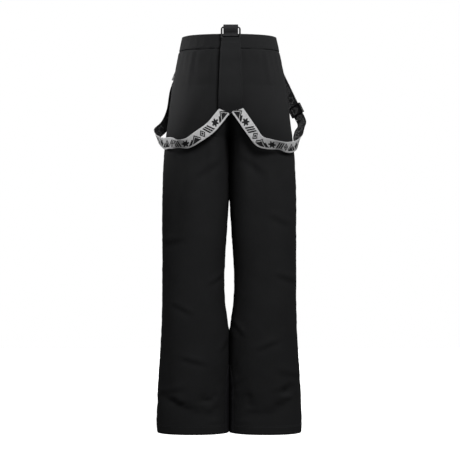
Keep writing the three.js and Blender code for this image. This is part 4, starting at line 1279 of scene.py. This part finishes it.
def make_fly():
    low, high = FLY_ENDS
    grid = front_grid(90, 40, (-UNDERLAP_HALF, UNDERLAP_HALF), (low, high - SEAM_GAP), -UNDERLAP_DEPTH)
    piece = sheet_piece("fly_underlap_cloth", grid, 1.4, LINING_FABRIC, edge=0.8, outward=-1)
    from_slot(piece, "lining_fabric", "fly_underlap")
    for name, side in SIDES.items():
        edges = sorted(side * x for x in FLY_TAPE)
        grid = front_grid(80, 14, edges, (FLY_BOTTOM + 2, high - 1.5), -FLY_TAPE_DEPTH)
        piece = sheet_piece(f"fly_tape_{name}", grid, 1.2, TAPE_FABRIC, edge=0.5, outward=-1)
        from_slot(piece, "zip_tape", f"fly_zip_{name}")
    line = front_grid(140, 2, (-0.1, 0.1), (FLY_BOTTOM + 4, high - 3), -FLY_TEETH_DEPTH).mean(1)
    shape = teeth(line, np.array([1.0, 0, 0]), 0, FLY_TOOTH)
    from_slot(make("fly_teeth", *shape, ZIP_TEETH), "black_plastic")

    middle = FLAP_PROUD - FLAP_THICK / 2
    grid = front_grid(110, 44, (-ROOT, FLAP_REACH), (low, high - 1), middle)
    bumps = ridges_at(lengths(grid, 1), FLAP_GROOVES, 0.9, -0.35) + ruffled(grid, 14.0, SEED + 9) * 0.25
    options = {"edge": 1.4, "outward": -1, "bumps": bumps}
    piece = sheet_piece("fly_flap_cloth", grid, FLAP_THICK, SHELL_FABRIC, "fly_flap", **options)
    from_slot(piece, "shell_fabric", "fly_flap")
    lift = FLAP_THICK / 2 - 0.15
    lines = [line_on(grid, lift, -1, [(0.03, share), (0.97, share)]) for share in FLAP_STITCHES]
    from_slot(stitched("fly_flap_stitches", lines, THREAD, "fly_flap"), "shell_fabric")
    make_fly_slider()


# Width, length and corner radius of the sliders and pulls, and the same with x and y for a hole.
SLIDER_SIZE = (8.4, 11, 2)
FLY_BRIDGE, FLY_PULL, FLY_PULL_HOLE = (3.0, 8, 1.2), (5, 18, 1.6), (2.4, 6, 1, 0, 4)
POCKET_PULL, POCKET_PULL_HOLE = (6, 30, 2), (3, 7, 1.2, 0, 9)
FLY_SLIDER_SINK, FLY_PULL_DROP = 1.8, 7
FLY_RUN = 108  # height over which the zip's direction is taken


def make_fly_slider():
    top, bottom = (skin_at_x(0, z, draped=False) for z in (FLY_TOP, FLY_TOP - FLY_RUN))
    up = unit(top - bottom)
    out = np.cross(up, [1.0, 0, 0])
    axes = np.stack([[-1.0, 0, 0], up, np.cross([-1.0, 0, 0], up)])
    body = top - out * FLY_SLIDER_SINK
    parts = [
        slab(SLIDER_SIZE, 2.6, 0.6, None, body, axes),
        slab(FLY_BRIDGE, 1.0, 0.4, None, body + out * 1.2, axes),
    ]
    from_slot(make("fly_slider_metal", *joined(parts), DARK_METAL, "fly_slider"), "dark_metal", "fly_slider")
    pull = top + out * 0.15 - up * FLY_PULL_DROP
    shape = slab(FLY_PULL, 1.0, 0.3, FLY_PULL_HOLE, pull, axes)
    from_slot(make("fly_pull_metal", *shape, DARK_METAL, "fly_slider"), "dark_metal", "fly_pull")


SNAP_HEIGHTS = {"upper": 1020.5, "lower": 1003.0}
# Profiles of the press snap's two halves: radius, and height over the skin.
SNAP_CAP = (
    (5.8, 5.1), (6.15, 5.25), (6.2, 5.5), (6.1, 5.75), (5.6, 6.15), (5.2, 6.3), (4.8, 6.25),
    (4.2, 6.05), (3.8, 6.0), (3.3, 6.15), (2.8, 6.55), (2.2, 6.75), (1.2, 6.87), (0.1, 6.9),
)  # fmt: skip
SNAP_STUD = ((3.7, 1.25), (3.8, 1.35), (3.75, 1.55), (2.4, 1.6), (2.3, 1.9), (2.1, 2.1), (0.1, 2.15))


def make_waist_tab():
    middle = FLAP_PROUD + 0.4 - FLAP_THICK / 2
    grid = front_grid(34, 60, (-ROOT, TAB_REACH), (BAND_BOTTOM + 0.5, OUTSEAM), middle, draped=False)
    options = {"edge": 1.4, "outward": -1, "bumps": ruffled(grid, 10.0, SEED + 2) * 0.2}
    piece = sheet_piece("waist_tab_cloth", grid, FLAP_THICK, BAND_FABRIC, "waist_tab", **options)
    from_slot(piece, "band_fabric", "waist_tab")
    corners = [(0.09, 0.04), (0.09, 0.95), (0.91, 0.95), (0.91, 0.04)]
    lines = [line_on(grid, FLAP_THICK / 2 - 0.1, -1, corners)]
    from_slot(stitched("waist_tab_stitches", lines, THREAD, "waist_tab"), "band_fabric")
    for name, z in SNAP_HEIGHTS.items():
        angle, height = angle_at_x(z, SNAP_X, True), np.array(z)
        base, out = bare_skin(1, angle, height), skin_normal(1, angle, height)
        for half, profile, body in (("cap", SNAP_CAP, "waist_tab"), ("stud", SNAP_STUD, "garment")):
            label = f"snap_{half}_{name}"
            piece = make(f"{label}_metal", *lathed(profile, base, out), DARK_METAL, body)
            from_slot(piece, "dark_metal", label)


# ---------------------------------------------------------------- hand pockets


TAPE_HALF, WELT_SHIFT, POCKET_STITCHES = 8.0, 8.2, 11.5  # distances from the middle of a pocket's zip
WELT = (4.6, 3.4, 1.6)
TAPE_PROUD, WELT_PROUD, POCKET_TEETH_PROUD, SLIDER_PROUD = 1.3, 1.0, 1.9, 3.9
SLIDER_START = 10.0  # below the upper end of the zip
PULL_MIDDLE = (2.7, 11.2)  # of the pull: out from the slider's middle and down
GRIP_RIB, GRIP_STEP, GRIP_RIBS = (4.4, 0.9, 0.5), 2.6, 4
# The bridge over a pocket slider: places up the zip and out of it.
BRIDGE = np.array([[5.0, 1.0], [4.9, 3.2], [4.2, 4.6], [2.6, 5.2], [0.9, 4.6], [0.25, 3.2], [0.15, 1.0]])
BAG_ENDS, BAG_ANGLES = (780, 955), (lambda z: 1.13 * math.pi, lambda z: 1.36 * math.pi)
BAG_DEPTH = 5.6


class PocketZip:
    """The ends of a hand pocket's zip on the bare skin, and directions across, up and out."""

    def __init__(self, side):
        ends = (POCKET_HIGH, POCKET_LOW)
        self.high, self.low = (skin_at_x(side * x, z, draped=False) for x, z in ends)
        self.up = unit(self.high - self.low)
        x, z = np.mean(ends, axis=0)
        self.across = unit(np.cross(self.up, skin_normal(side, angle_at_x(z, x, True), z)))
        self.out = np.cross(self.across, self.up)
        self.axes = np.stack([self.across, self.up, self.out])

    def alongside(self, shift, lift, past):
        """A line beside the zip, which runs on past both its ends."""
        share = np.linspace(0, 1, 60)[:, None]
        line = mix(self.low - self.up * past, self.high + self.up * past, share)
        return line + self.across * shift + self.out * lift


def make_pocket_opening(name, place):
    """Tape, teeth and the welt round them."""

    def flat(s, t):
        along = mix(place.low, place.high, s[..., None])
        return along + place.across * mix(-TAPE_HALF, TAPE_HALF, t)[..., None] + place.out * TAPE_PROUD

    piece = sheet_piece(f"pocket_tape_{name}", grid_of(80, 18, flat), 1.4, TAPE_FABRIC, edge=0.6)
    from_slot(piece, "zip_tape", f"pocket_zip_{name}")
    line = np.stack([place.low + place.up * 3, place.high - place.up * 3])
    shape = teeth(line, place.across, place.out * POCKET_TEETH_PROUD, POCKET_TOOTH)
    from_slot(make(f"pocket_teeth_{name}", *shape, ZIP_TEETH), "black_plastic")

    bars = []
    for shift in (-WELT_SHIFT, WELT_SHIFT):
        path = place.alongside(shift, WELT_PROUD, 2)
        bars.append(swept(path, outline(*WELT), place.across, closed=False))
    for end in (place.low, place.high):
        steps = np.linspace(-WELT_SHIFT, WELT_SHIFT, 14)[:, None]
        path = end + place.across * steps + place.out * WELT_PROUD
        bars.append(swept(path, outline(*WELT), place.up, closed=False))
    from_slot(make(f"pocket_welt_{name}", *joined(bars), SHELL_FABRIC), "shell_fabric")


def make_pocket_slider(name, place):
    """The slider with its bridge, and the pull that hangs from it."""
    at = place.high - place.up * SLIDER_START + place.out * SLIDER_PROUD
    bridge = curve_through(at + BRIDGE[:, :1] * place.up + BRIDGE[:, 1:] * place.out, 0.4)
    parts = [
        slab(SLIDER_SIZE, 3.2, 0.9, None, at, place.axes),
        swept(bridge, outline(1.8, 1.3, 0.5), place.across, False),
    ]
    piece = make(f"pocket_slider_{name}_metal", *joined(parts), DARK_METAL, f"pocket_slider_{name}")
    from_slot(piece, "dark_metal", f"pocket_slider_{name}")
    out, down = PULL_MIDDLE
    middle = at + place.out * out - place.up * down
    parts = [slab(POCKET_PULL, 1.6, 0.5, POCKET_PULL_HOLE, middle, place.axes)]
    for step in range(GRIP_RIBS):
        rib = middle - place.up * (3 + GRIP_STEP * step) + place.out * 0.7
        parts.append(rounded_box(GRIP_RIB, 0.24, rib, place.axes))
    piece = make(f"pocket_pull_{name}_plastic", *joined(parts), BLACK_PLASTIC, f"pocket_pull_{name}")
    from_slot(piece, "black_plastic", f"pocket_pull_{name}")


def make_pockets():
    lines = []
    for name, side in SIDES.items():
        place = PocketZip(side)
        make_pocket_opening(name, place)
        for shift in (-POCKET_STITCHES, POCKET_STITCHES):
            path = place.alongside(shift, 0.9, 4)
            lines.append((path, np.broadcast_to(place.out, path.shape)))
        make_pocket_slider(name, place)
        grid = skin_patch(70, 50, side, BAG_ENDS, BAG_ANGLES, -BAG_DEPTH)
        rumple = ruffled(grid, 22.0, SEED + 11) * 0.4
        label = f"pocket_bag_{name}_cloth"
        piece = sheet_piece(label, grid, 1.4, LINING_FABRIC, edge=0.7, outward=side, bumps=rumple)
        from_slot(piece, "lining_fabric", f"pocket_bag_{name}")
    from_slot(stitched("pocket_stitches", lines, THREAD), "shell_fabric")


# ---------------------------------------------------------------- rings and tabs

RING_HEIGHT, RING_BAR, RING_THICK = 35.0, 4.0, 4.0
RING_LEAN, RING_LIFT = 0.2, 0.6
RING_PLAY, RING_SIDE, RING_RADIUS = 4.2, 4.6, 8.0
WRAP = 3.7  # radius of webbing wrapped round a bar
TAB_WIDTH = 38.0
BACK_OUTSET, FRONT_OUTSET = 8.2, 7.6
BACK_TAB_DEPTH, FRONT_TAB_DEPTH = 7.4, 9.0  # inside the skin, where the tabs are sewn in
FRONT_RING_X = 90.0


class Spot:
    """Where a ring hangs: the top edge of the band, and directions across, up and out."""

    def __init__(self, top, up, outward, outset):
        self.top = np.asarray(top, float)
        self.up = unit(up)
        self.across = unit(np.cross(self.up, outward))
        self.out = np.cross(self.across, self.up)
        reach = RING_HEIGHT / 2 - RING_BAR / 2
        rise, lean = reach * math.cos(RING_LEAN), reach * math.sin(RING_LEAN)
        self.outset = outset
        self.upper = (RING_LIFT + rise, outset - lean)
        self.lower = (RING_LIFT - rise, outset + lean)

    def at(self, height, out):
        return self.top + self.up * height + self.out * out

    def path(self, pairs):
        return np.array([self.at(height, out) for height, out in pairs])


def half_turn(bar, steps=8, rise=WRAP):
    """Heights and outsets of webbing that turns over a bar and clears it by `rise` on top."""
    turns = np.linspace(math.pi, 0, steps + 1)
    return [(bar[0] + rise * math.sin(a), bar[1] + WRAP * math.cos(a)) for a in turns]


def back_spot():
    top = skin_at_x(YOKE_X, OUTSEAM, on_front=False, draped=False)
    return Spot(top, [0, 0, 1], [0, -1.0, 0], BACK_OUTSET)


def front_spot(name, side):
    """The place of a front ring, which the strap pulls down, back and outwards."""
    top = skin_at_x(side * FRONT_RING_X, OUTSEAM, draped=False)
    level = OUTSEAM - 20
    outward = skin_normal(side, angle_at_x(level, FRONT_RING_X, True), np.array(level))
    out, back, down = PULLS[name]
    return Spot(top, -np.array([side * out, back, down], float), outward, FRONT_OUTSET)


def make_ring(name, spot, webbing, body, node):
    opening = webbing + RING_PLAY
    cosine, sine = math.cos(RING_LEAN), math.sin(RING_LEAN)
    lean = np.array([[1, 0, 0], [0, cosine, -sine], [0, sine, cosine]])
    axes = lean @ np.stack([spot.across, spot.up, spot.out])
    size = (opening + 2 * RING_SIDE, RING_HEIGHT, RING_RADIUS)
    hole = (opening, RING_HEIGHT - 2 * RING_BAR, 1.5)
    shape = slab(size, RING_THICK, 1.3, hole, spot.at(RING_LIFT, spot.outset), axes)
    from_slot(make(name, *shape, BLACK_PLASTIC, body), "black_plastic", node)


TAB_RISE = 6.4
TAB_STITCHES = 4.0  # up from the tab's end
TAB_FRONT = ((3, 0), (8, 1.4), (14.5, 4.2), (19, 4.3), (23, 3.6))  # down from the bar, in from the fold


def make_tab(name, spot, depth, width, node):
    bar, out = spot.upper
    pairs = [(-27, -depth - 1.6), (-6, -depth), (2, -depth), *half_turn(spot.upper, rise=TAB_RISE)]
    pairs += [(bar - down, out + WRAP - inward) for down, inward in TAB_FRONT]
    path = curve_through(spot.path(pairs), 1.2)
    grid = ribbon(path, [spot.across] * len(path), width / 2, 1.0, 39)
    piece = sheet_piece(name, grid, WEBBING_THICK, TAB_WEBBING, edge=0.8)
    from_slot(piece, "tab_webbing", node)
    row = 1 - TAB_STITCHES / (len(grid) - 1)
    return line_on(grid, WEBBING_THICK / 2 + 0.1, -1, [(row, 0.05), (row, 0.95)])


def make_rings_and_tabs():
    lines = []
    spot = back_spot()
    ring = "back_ring_plastic"
    make_ring(ring, spot, TAB_WIDTH, "back_ring", "back_ring")
    lines.append(make_tab("back_tab_webbing", spot, BACK_TAB_DEPTH, TAB_WIDTH, "back_tab"))
    for name, side in SIDES.items():
        spot = front_spot(name, side)
        ring, label = f"front_ring_{name}_plastic", f"front_tab_{name}"
        make_ring(ring, spot, WEBBING, "garment", f"front_ring_{name}")
        lines.append(make_tab(f"{label}_webbing", spot, FRONT_TAB_DEPTH, WEBBING, label))
    from_slot(stitched("tab_stitches", lines, THREAD), "tab_webbing")


# ---------------------------------------------------------------- yoke

YOKE_THICK = 2.0
YOKE_TOP, YOKE_BOTTOM = 24.0, 32.0  # half widths
YOKE_LOOP = 19.0
CORNER_Z, TIP_Z = 839.0, 823.0


YOKE_STARTS = 6.0  # below the ring's bar
YOKE_COLUMNS, YOKE_ROWS = 75, 150
YOKE_WIDENING = 0.6  # below 1 it widens fastest near its top
YOKE_OFF_TOP, YOKE_OFF_TIP = 11.5, 7.2  # how far it hangs off the seat
YOKE_OFF_FROM, YOKE_OFF_OVER = 905, 70
YOKE_HEM = 4.2  # from its edge to the seam
YOKE_STITCHES = (0.07, 0.93)
YOKE_TIP_STITCH = 0.975


def yoke_loop(spot):
    """The yoke's upper end from the side, where it turns over the ring's lower bar."""
    height, out = spot.lower
    return curve_through(spot.path([(height - 9, out - WRAP), *half_turn(spot.lower, 16)]), 0.9)


def yoke_grid(spot, loop):
    """The loop, narrowed to fit the ring, and below it the cloth that hangs down the seat."""
    bar = spot.at(*spot.lower)
    across = np.linspace(-1, 1, YOKE_COLUMNS)[None, :]
    start = bar[2] - YOKE_STARTS
    z = mix(start, mix(TIP_Z, CORNER_Z, np.abs(across)), np.linspace(0, 1, YOKE_ROWS)[:, None])
    surface = skin_at_x(12, z, on_front=False)[..., 1]
    stand_off = mix(YOKE_OFF_TOP, YOKE_OFF_TIP, smooth((YOKE_OFF_FROM - z) / YOKE_OFF_OVER))
    y = np.minimum(surface - stand_off, bar[1] - WRAP)
    widening = np.clip((start - z) / (start - CORNER_Z), 0, 1) ** YOKE_WIDENING
    x = YOKE_X + across * mix(YOKE_TOP, YOKE_BOTTOM, widening)
    body = np.stack(np.broadcast_arrays(x, y, z), -1)
    widths = [YOKE_LOOP, YOKE_LOOP, YOKE_TOP]
    wide = np.interp(np.arange(len(loop)), [0, len(loop) * 0.7, len(loop)], widths)
    top = loop[:, None] + np.array([1.0, 0, 0]) * (across * wide[:, None])[..., None]
    return np.concatenate([top, body])


def make_yoke():
    spot = back_spot()
    loop = yoke_loop(spot)
    grid = yoke_grid(spot, loop)
    u, v = lengths(grid, 1), lengths(grid, 0)
    away = np.minimum(u, u[:, -1:] - u)
    seam = ridges_at(away, [YOKE_HEM], 1.1, -0.4) + ridges_at(v[-1:, :] - v, [YOKE_HEM], 1.1, -0.4)
    soft = ruffled(grid, 30.0, SEED + 21) * 0.7 + ruffled(grid, 11.0, SEED, along=0.6) * 0.3
    options = {"edge": 1.1, "outward": -1, "bumps": seam + soft + ridges_at(v, [v[len(loop)]], 1.2, -0.5)}
    piece = sheet_piece("yoke_cloth", grid, YOKE_THICK, YOKE_FABRIC, "suspender_yoke", **options)
    from_slot(piece, "shell_fabric", "yoke")
    top, tip, (left, right) = (len(loop) + 3) / len(grid), YOKE_TIP_STITCH, YOKE_STITCHES
    rows = (
        [(top, left), (tip, left)],
        [(top, right), (tip, right)],
        [(tip, left), (tip, right)],
        [(top, left + 0.03), (top, right - 0.03)],
    )
    lines = [line_on(grid, YOKE_THICK / 2 + 0.05, -1, row) for row in rows]
    from_slot(stitched("yoke_stitches", lines, THREAD, "suspender_yoke"), "shell_fabric")


# ---------------------------------------------------------------- suspender straps

# Where each strap runs over the seat and round the hip, and the direction across the webbing.
# The side that it runs on sets the sign of x.
ROUTES = {
    "right": [
        [18, -122, 837, 0.79, 0, 0.61], [35, -122.6, 813, 0.79, 0, 0.61], [57, -127.5, 781, 0.76, -0.1, 0.62],
        [79, -127, 753, 0.45, -0.3, 0.85], [106, -124, 746, 0.05, -0.5, 0.85], [126, -117, 744, 0, -0.7, 0.7],
        [146, -100, 740, 0.1, -0.5, 0.86], [164, -75, 742, 0.15, -0.1, 0.98], [176, -48, 749, 0.2, 0, 0.97],
        [181, -24, 756, 0.3, 0.05, 0.94], [181, -6, 763, 0.6, 0.1, 0.78], [181, 6, 775, 0.88, 0, 0.45],
        [185, 13, 792, 0.9, 0, 0.42],
    ],
    "left": [
        [10, -121, 834, 0.7, 0, 0.7], [28, -123, 811, 0.7, 0, 0.7], [48, -127, 788, 0.62, -0.05, 0.78],
        [80, -127, 765, 0.5, -0.15, 0.85], [107, -122, 749, 0.2, -0.5, 0.84],
        [130, -115, 748, 0, -0.75, 0.66], [152, -91, 751, 0, -0.1, 0.98],
        [168, -66, 751, 0.1, 0, 0.98], [181, -38, 759, 0.3, 0, 0.95],
        [189, -12, 769, 0.35, 0.05, 0.92], [191, 8, 780, 0.4, 0.05, 0.9], [172, 29, 801, 0.45, -0.1, 0.9],
        [158, 58, 836, 0.55, -0.5, 0.66],
    ],
}  # fmt: skip
PULLS = {"right": (76, -36, -165), "left": (58, -17, -143)}  # out, back and down
DROPS = {"right": 182.0, "left": 81.0}  # from the front ring's bar to the adjuster
LAYER = 2.3  # distance between the two layers of a doubled strap
TAIL = 26.0
CELL = 0.8  # the weave changes colour in cells of this size
REPEAT = 94.0
RIM = 1.2  # width of the lines that show on the reverse
BORDER = 10.0  # the pattern keeps this close to the webbing's middle
FLAKE_AT, SLANT_FROM, SLANT_TO, RHOMB_AT = 42, 57, 74.5, 85  # places along the repeat


def motif(u, v):
    """True where the jacquard weave shows its second colour, for u across and v along in mm."""
    x, y = np.mod(v, REPEAT), u - WEBBING / 2
    inside = np.abs(y) < BORDER
    peak = 9.5 - 1.1 * np.abs(x - 13)
    peaks = ((y < peak) | (y < 3.0 - 1.1 * np.abs(x - 24))) & inside
    peaks &= np.abs(y - peak + 5.2) > 0.9
    flake = np.abs(np.hypot(x - FLAKE_AT, y) - 5.4) < 1.3
    for turn in range(3):
        along, off = turned(x - FLAKE_AT, y, turn * math.pi / 3)
        flake |= (np.abs(off) < 2.1) & (np.abs(along) < BORDER)
    slant = x - 0.5 * y
    bars = (np.mod(slant - SLANT_FROM, 6.4) < 4.4) & (slant > SLANT_FROM) & (slant < SLANT_TO) & inside
    rhomb = np.abs(x - RHOMB_AT) + np.abs(y) * 0.75
    diamond = (rhomb < 8.2) & (np.abs(rhomb - 4.2) > 0.8)
    return peaks | flake | bars | diamond


def outlined(u, v):
    """The rim of the motif, which is all that shows on the reverse."""
    inner = motif(u, v)
    for across, along in ((RIM, 0), (-RIM, 0), (0, RIM), (0, -RIM)):
        inner = inner & motif(u + across, v + along)
    return motif(u, v) & ~inner


def strap_path(name, spot):
    """The strap's part at the front ring: up to its bar, over it and down again to the tail."""
    (height, out), narrow, drop = spot.lower, LAYER / 2, DROPS[name]
    single = [(drop + TAIL + 12, -narrow), (drop, -narrow), (60, -narrow), (24, -narrow), (9, -WRAP)]
    doubled = [(9, WRAP), (24, narrow), (60, narrow), (drop, narrow), (drop + TAIL, narrow)]
    up, down = ([(height - below, out + off) for below, off in part] for part in (single, doubled))
    return spot.path([*up, *half_turn(spot.lower), *down])


def strap_grid(name, side):
    spot = front_spot(name, side)
    route = np.array(ROUTES[name], float)
    route[:, [0, 3]] *= side
    path = strap_path(name, spot)
    ring_across = spot.across * np.sign(spot.across @ unit(route[-1, 3:]))
    across = np.concatenate([route[:, 3:], np.broadcast_to(ring_across, path.shape)])
    columns = int(round(WEBBING / CELL)) + 1
    return ribbon(np.concatenate([route[:, :3], path]), across, WEBBING / 2, CELL, columns)


def woven_index(grid, faces):
    """Which of a strap's materials each face takes: grey, black or, on the reverse, dim grey. The walls take
    black: partly the dark selvage, partly painted shade for the thin shadow along the strap's edges.
    """
    columns = grid.shape[1]
    u = lengths(grid, 1)
    v = np.broadcast_to(lengths(grid, 0)[:, columns // 2, None], u.shape)
    centre = (u[:-1, :-1] + CELL / 2, v[:-1, :-1] + CELL / 2)
    front, reverse = (weave(*centre).ravel().astype(int) for weave in (motif, outlined))
    # the walls are black: a dark selvage, and painted shade standing in for the shadow lines along the edges
    edges = np.ones(len(faces) - 2 * len(front), int)
    return np.concatenate([front, 1 + reverse, edges])


def make_straps():
    for name, side in SIDES.items():
        grid = strap_grid(name, side)
        points, faces, cloth = sheet_solid(grid, WEBBING_THICK, edge=0.9, outward=-side)
        body = make(f"strap_{name}", points, faces, STRAP_GREY, None, cloth)
        body.data.materials.append(STRAP_BLACK)
        body.data.materials.append(STRAP_DIM)
        body.data.polygons.foreach_set("material_index", woven_index(grid, faces))
        from_slot(body, "strap_webbing", f"strap_rear_{name}", f"strap_front_{name}")
        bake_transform(body)


# An adjuster's parts: width, length and thickness, then the places across, up and out.
RAIL, RAIL_X = (3.6, 27.4, 8.4), 17.3
OVER_BAR, OVER_Z = (36, 4.2, 1.8), 3.3
UNDER_BAR, UNDER_Y, UNDER_Z = (36, 3.6, 1.8), 11.8, -3.3
GRIP, GRIP_Y, GRIP_Z = (30, 0.7, 0.6), 0.9, 4.3
ADJUSTER_RADIUS = 0.75


def make_adjusters():
    """Triglides: a rail at each edge, one bar over the doubled strap and two under it."""
    for name, side in SIDES.items():
        spot = front_spot(name, side)
        axes = np.stack([spot.across, spot.up, spot.out])
        middle = spot.at(spot.lower[0] - DROPS[name], spot.lower[1])
        places = [(RAIL, (sign * RAIL_X, 0, 0)) for sign in (-1, 1)]
        places.append((OVER_BAR, (0, 0, OVER_Z)))
        places += [(UNDER_BAR, (0, sign * UNDER_Y, UNDER_Z)) for sign in (-1, 1)]
        places += [(GRIP, (0, sign * GRIP_Y, GRIP_Z)) for sign in (-1, 1)]
        parts = []
        for size, at in places:
            parts.append(rounded_box(size, ADJUSTER_RADIUS, middle + np.array(at) @ axes, axes))
        piece = make(f"adjuster_{name}_plastic", *joined(parts), BLACK_PLASTIC, f"adjuster_{name}")
        from_slot(piece, "black_plastic", f"adjuster_{name}")


# ---------------------------------------------------------------- stage, light and camera


FLOOR_HALF = 3.0
FLOOR_GREY, FLOOR_GLOW = 0.93, 0.9
WORLD_GLOW = (0.11, 0.19)  # strength of the light from low down, and how much more comes from above

# Name, place, target, size, power and spread of every light, in metres and watts.
LIGHTS = (
    ("key", (0.8, -1.75, 2.4), (0, 0, 0.85), (1.0, 0.8), 62, math.pi),
    ("fill_left", (-1.8, -1.2, 0.5), (-0.1, 0, 0.3), (0.8, 0.8), 3.5, math.pi),
    ("front", (0, 2.8, 1.5), (0, 0, 0.55), (1.0, 0.8), 16.0, math.pi),
    ("hip_left", (-1.5, 0.4, 1.5), (-0.16, 0, 0.93), (0.3, 0.3), 0.5, 0.3),
    ("hip_right", (1.5, 0.6, 1.55), (0.15, 0, 0.95), (0.3, 0.3), 0.12, 0.3),
)

CAMERA_PLACE = (-0.00053, -4.2867, 0.528)
FOCAL_LENGTH, SENSOR_WIDTH = 128.4, 36  # millimetres


def make_stage():
    """A white floor that glows and throws no light back at the garment."""
    material, _, shader = new_material("studio_floor", 0.9, specular=0.0)
    shader.inputs["Base Color"].default_value = (FLOOR_GREY, FLOOR_GREY, FLOOR_GREY, 1)
    shader.inputs["Emission Color"].default_value = (1, 1, 1, 1)
    shader.inputs["Emission Strength"].default_value = FLOOR_GLOW
    mesh = bpy.data.meshes.new("floor")
    corners = [(x * FLOOR_HALF, y * FLOOR_HALF, 0) for x, y in ((-1, -1), (1, -1), (1, 1), (-1, 1))]
    mesh.from_pydata(corners, [], [(0, 1, 2, 3)])
    mesh.materials.append(material)
    floor = bpy.data.objects.new("floor", mesh)
    bpy.context.scene.collection.objects.link(floor)
    floor.visible_diffuse = False
    floor.visible_glossy = False


def make_world():
    """White behind the garment, and a soft dimmer glow from above for everything it lights."""
    world = bpy.data.worlds.new("studio")
    world.use_nodes = True
    bpy.context.scene.world = world
    tree = world.node_tree
    tree.nodes.clear()
    direction = node(tree, "ShaderNodeTexCoord").outputs["Generated"]
    height = node(tree, "ShaderNodeSeparateXYZ", {0: direction}).outputs[2]
    glow = ramp(tree, height, -0.4, 1.0)
    least, more = WORLD_GLOW
    strength = math_node(tree, "MULTIPLY_ADD", glow, more, least)
    seen = node(tree, "ShaderNodeLightPath").outputs["Is Camera Ray"]
    inputs = {"Factor": seen, "A": strength, "B": 1.0}
    level = node(tree, "ShaderNodeMix", inputs, data_type="FLOAT")
    inputs = {"Color": (1, 1, 1, 1), "Strength": level.outputs["Result"]}
    background = node(tree, "ShaderNodeBackground", inputs)
    output = tree.nodes.new("ShaderNodeOutputWorld")
    tree.links.new(background.outputs[0], output.inputs[0])


def area_light(name, place, target, size, power, spread):
    light = bpy.data.lights.new(name, "AREA")
    light.shape = "RECTANGLE"
    light.size, light.size_y = size
    light.energy = power
    light.spread = spread
    lamp = bpy.data.objects.new(name, light)
    lamp.location = place
    lamp.rotation_euler = (Vector(target) - Vector(place)).to_track_quat("-Z", "Y").to_euler()
    bpy.context.scene.collection.objects.link(lamp)


def make_camera():
    lens = bpy.data.cameras.new("camera")
    lens.lens = FOCAL_LENGTH
    lens.sensor_width = SENSOR_WIDTH
    camera = bpy.data.objects.new("camera", lens)
    camera.location = CAMERA_PLACE
    camera.rotation_euler = (math.pi / 2, 0, 0)
    bpy.context.scene.collection.objects.link(camera)
    bpy.context.scene.camera = camera
    bpy.context.scene.view_settings.view_transform = "Standard"


# ---------------------------------------------------------------- everything

make_shell()
make_hem_stitches()
make_lining()
make_gaiters()
make_guards()
make_waistband()
make_facing()
make_belt_loops()
make_hanger_loops()
make_fly()
make_waist_tab()
make_pockets()
make_rings_and_tabs()
make_yoke()
make_straps()
make_adjusters()
make_stage()
make_world()
for light in LIGHTS:
    area_light(*light)
make_camera()
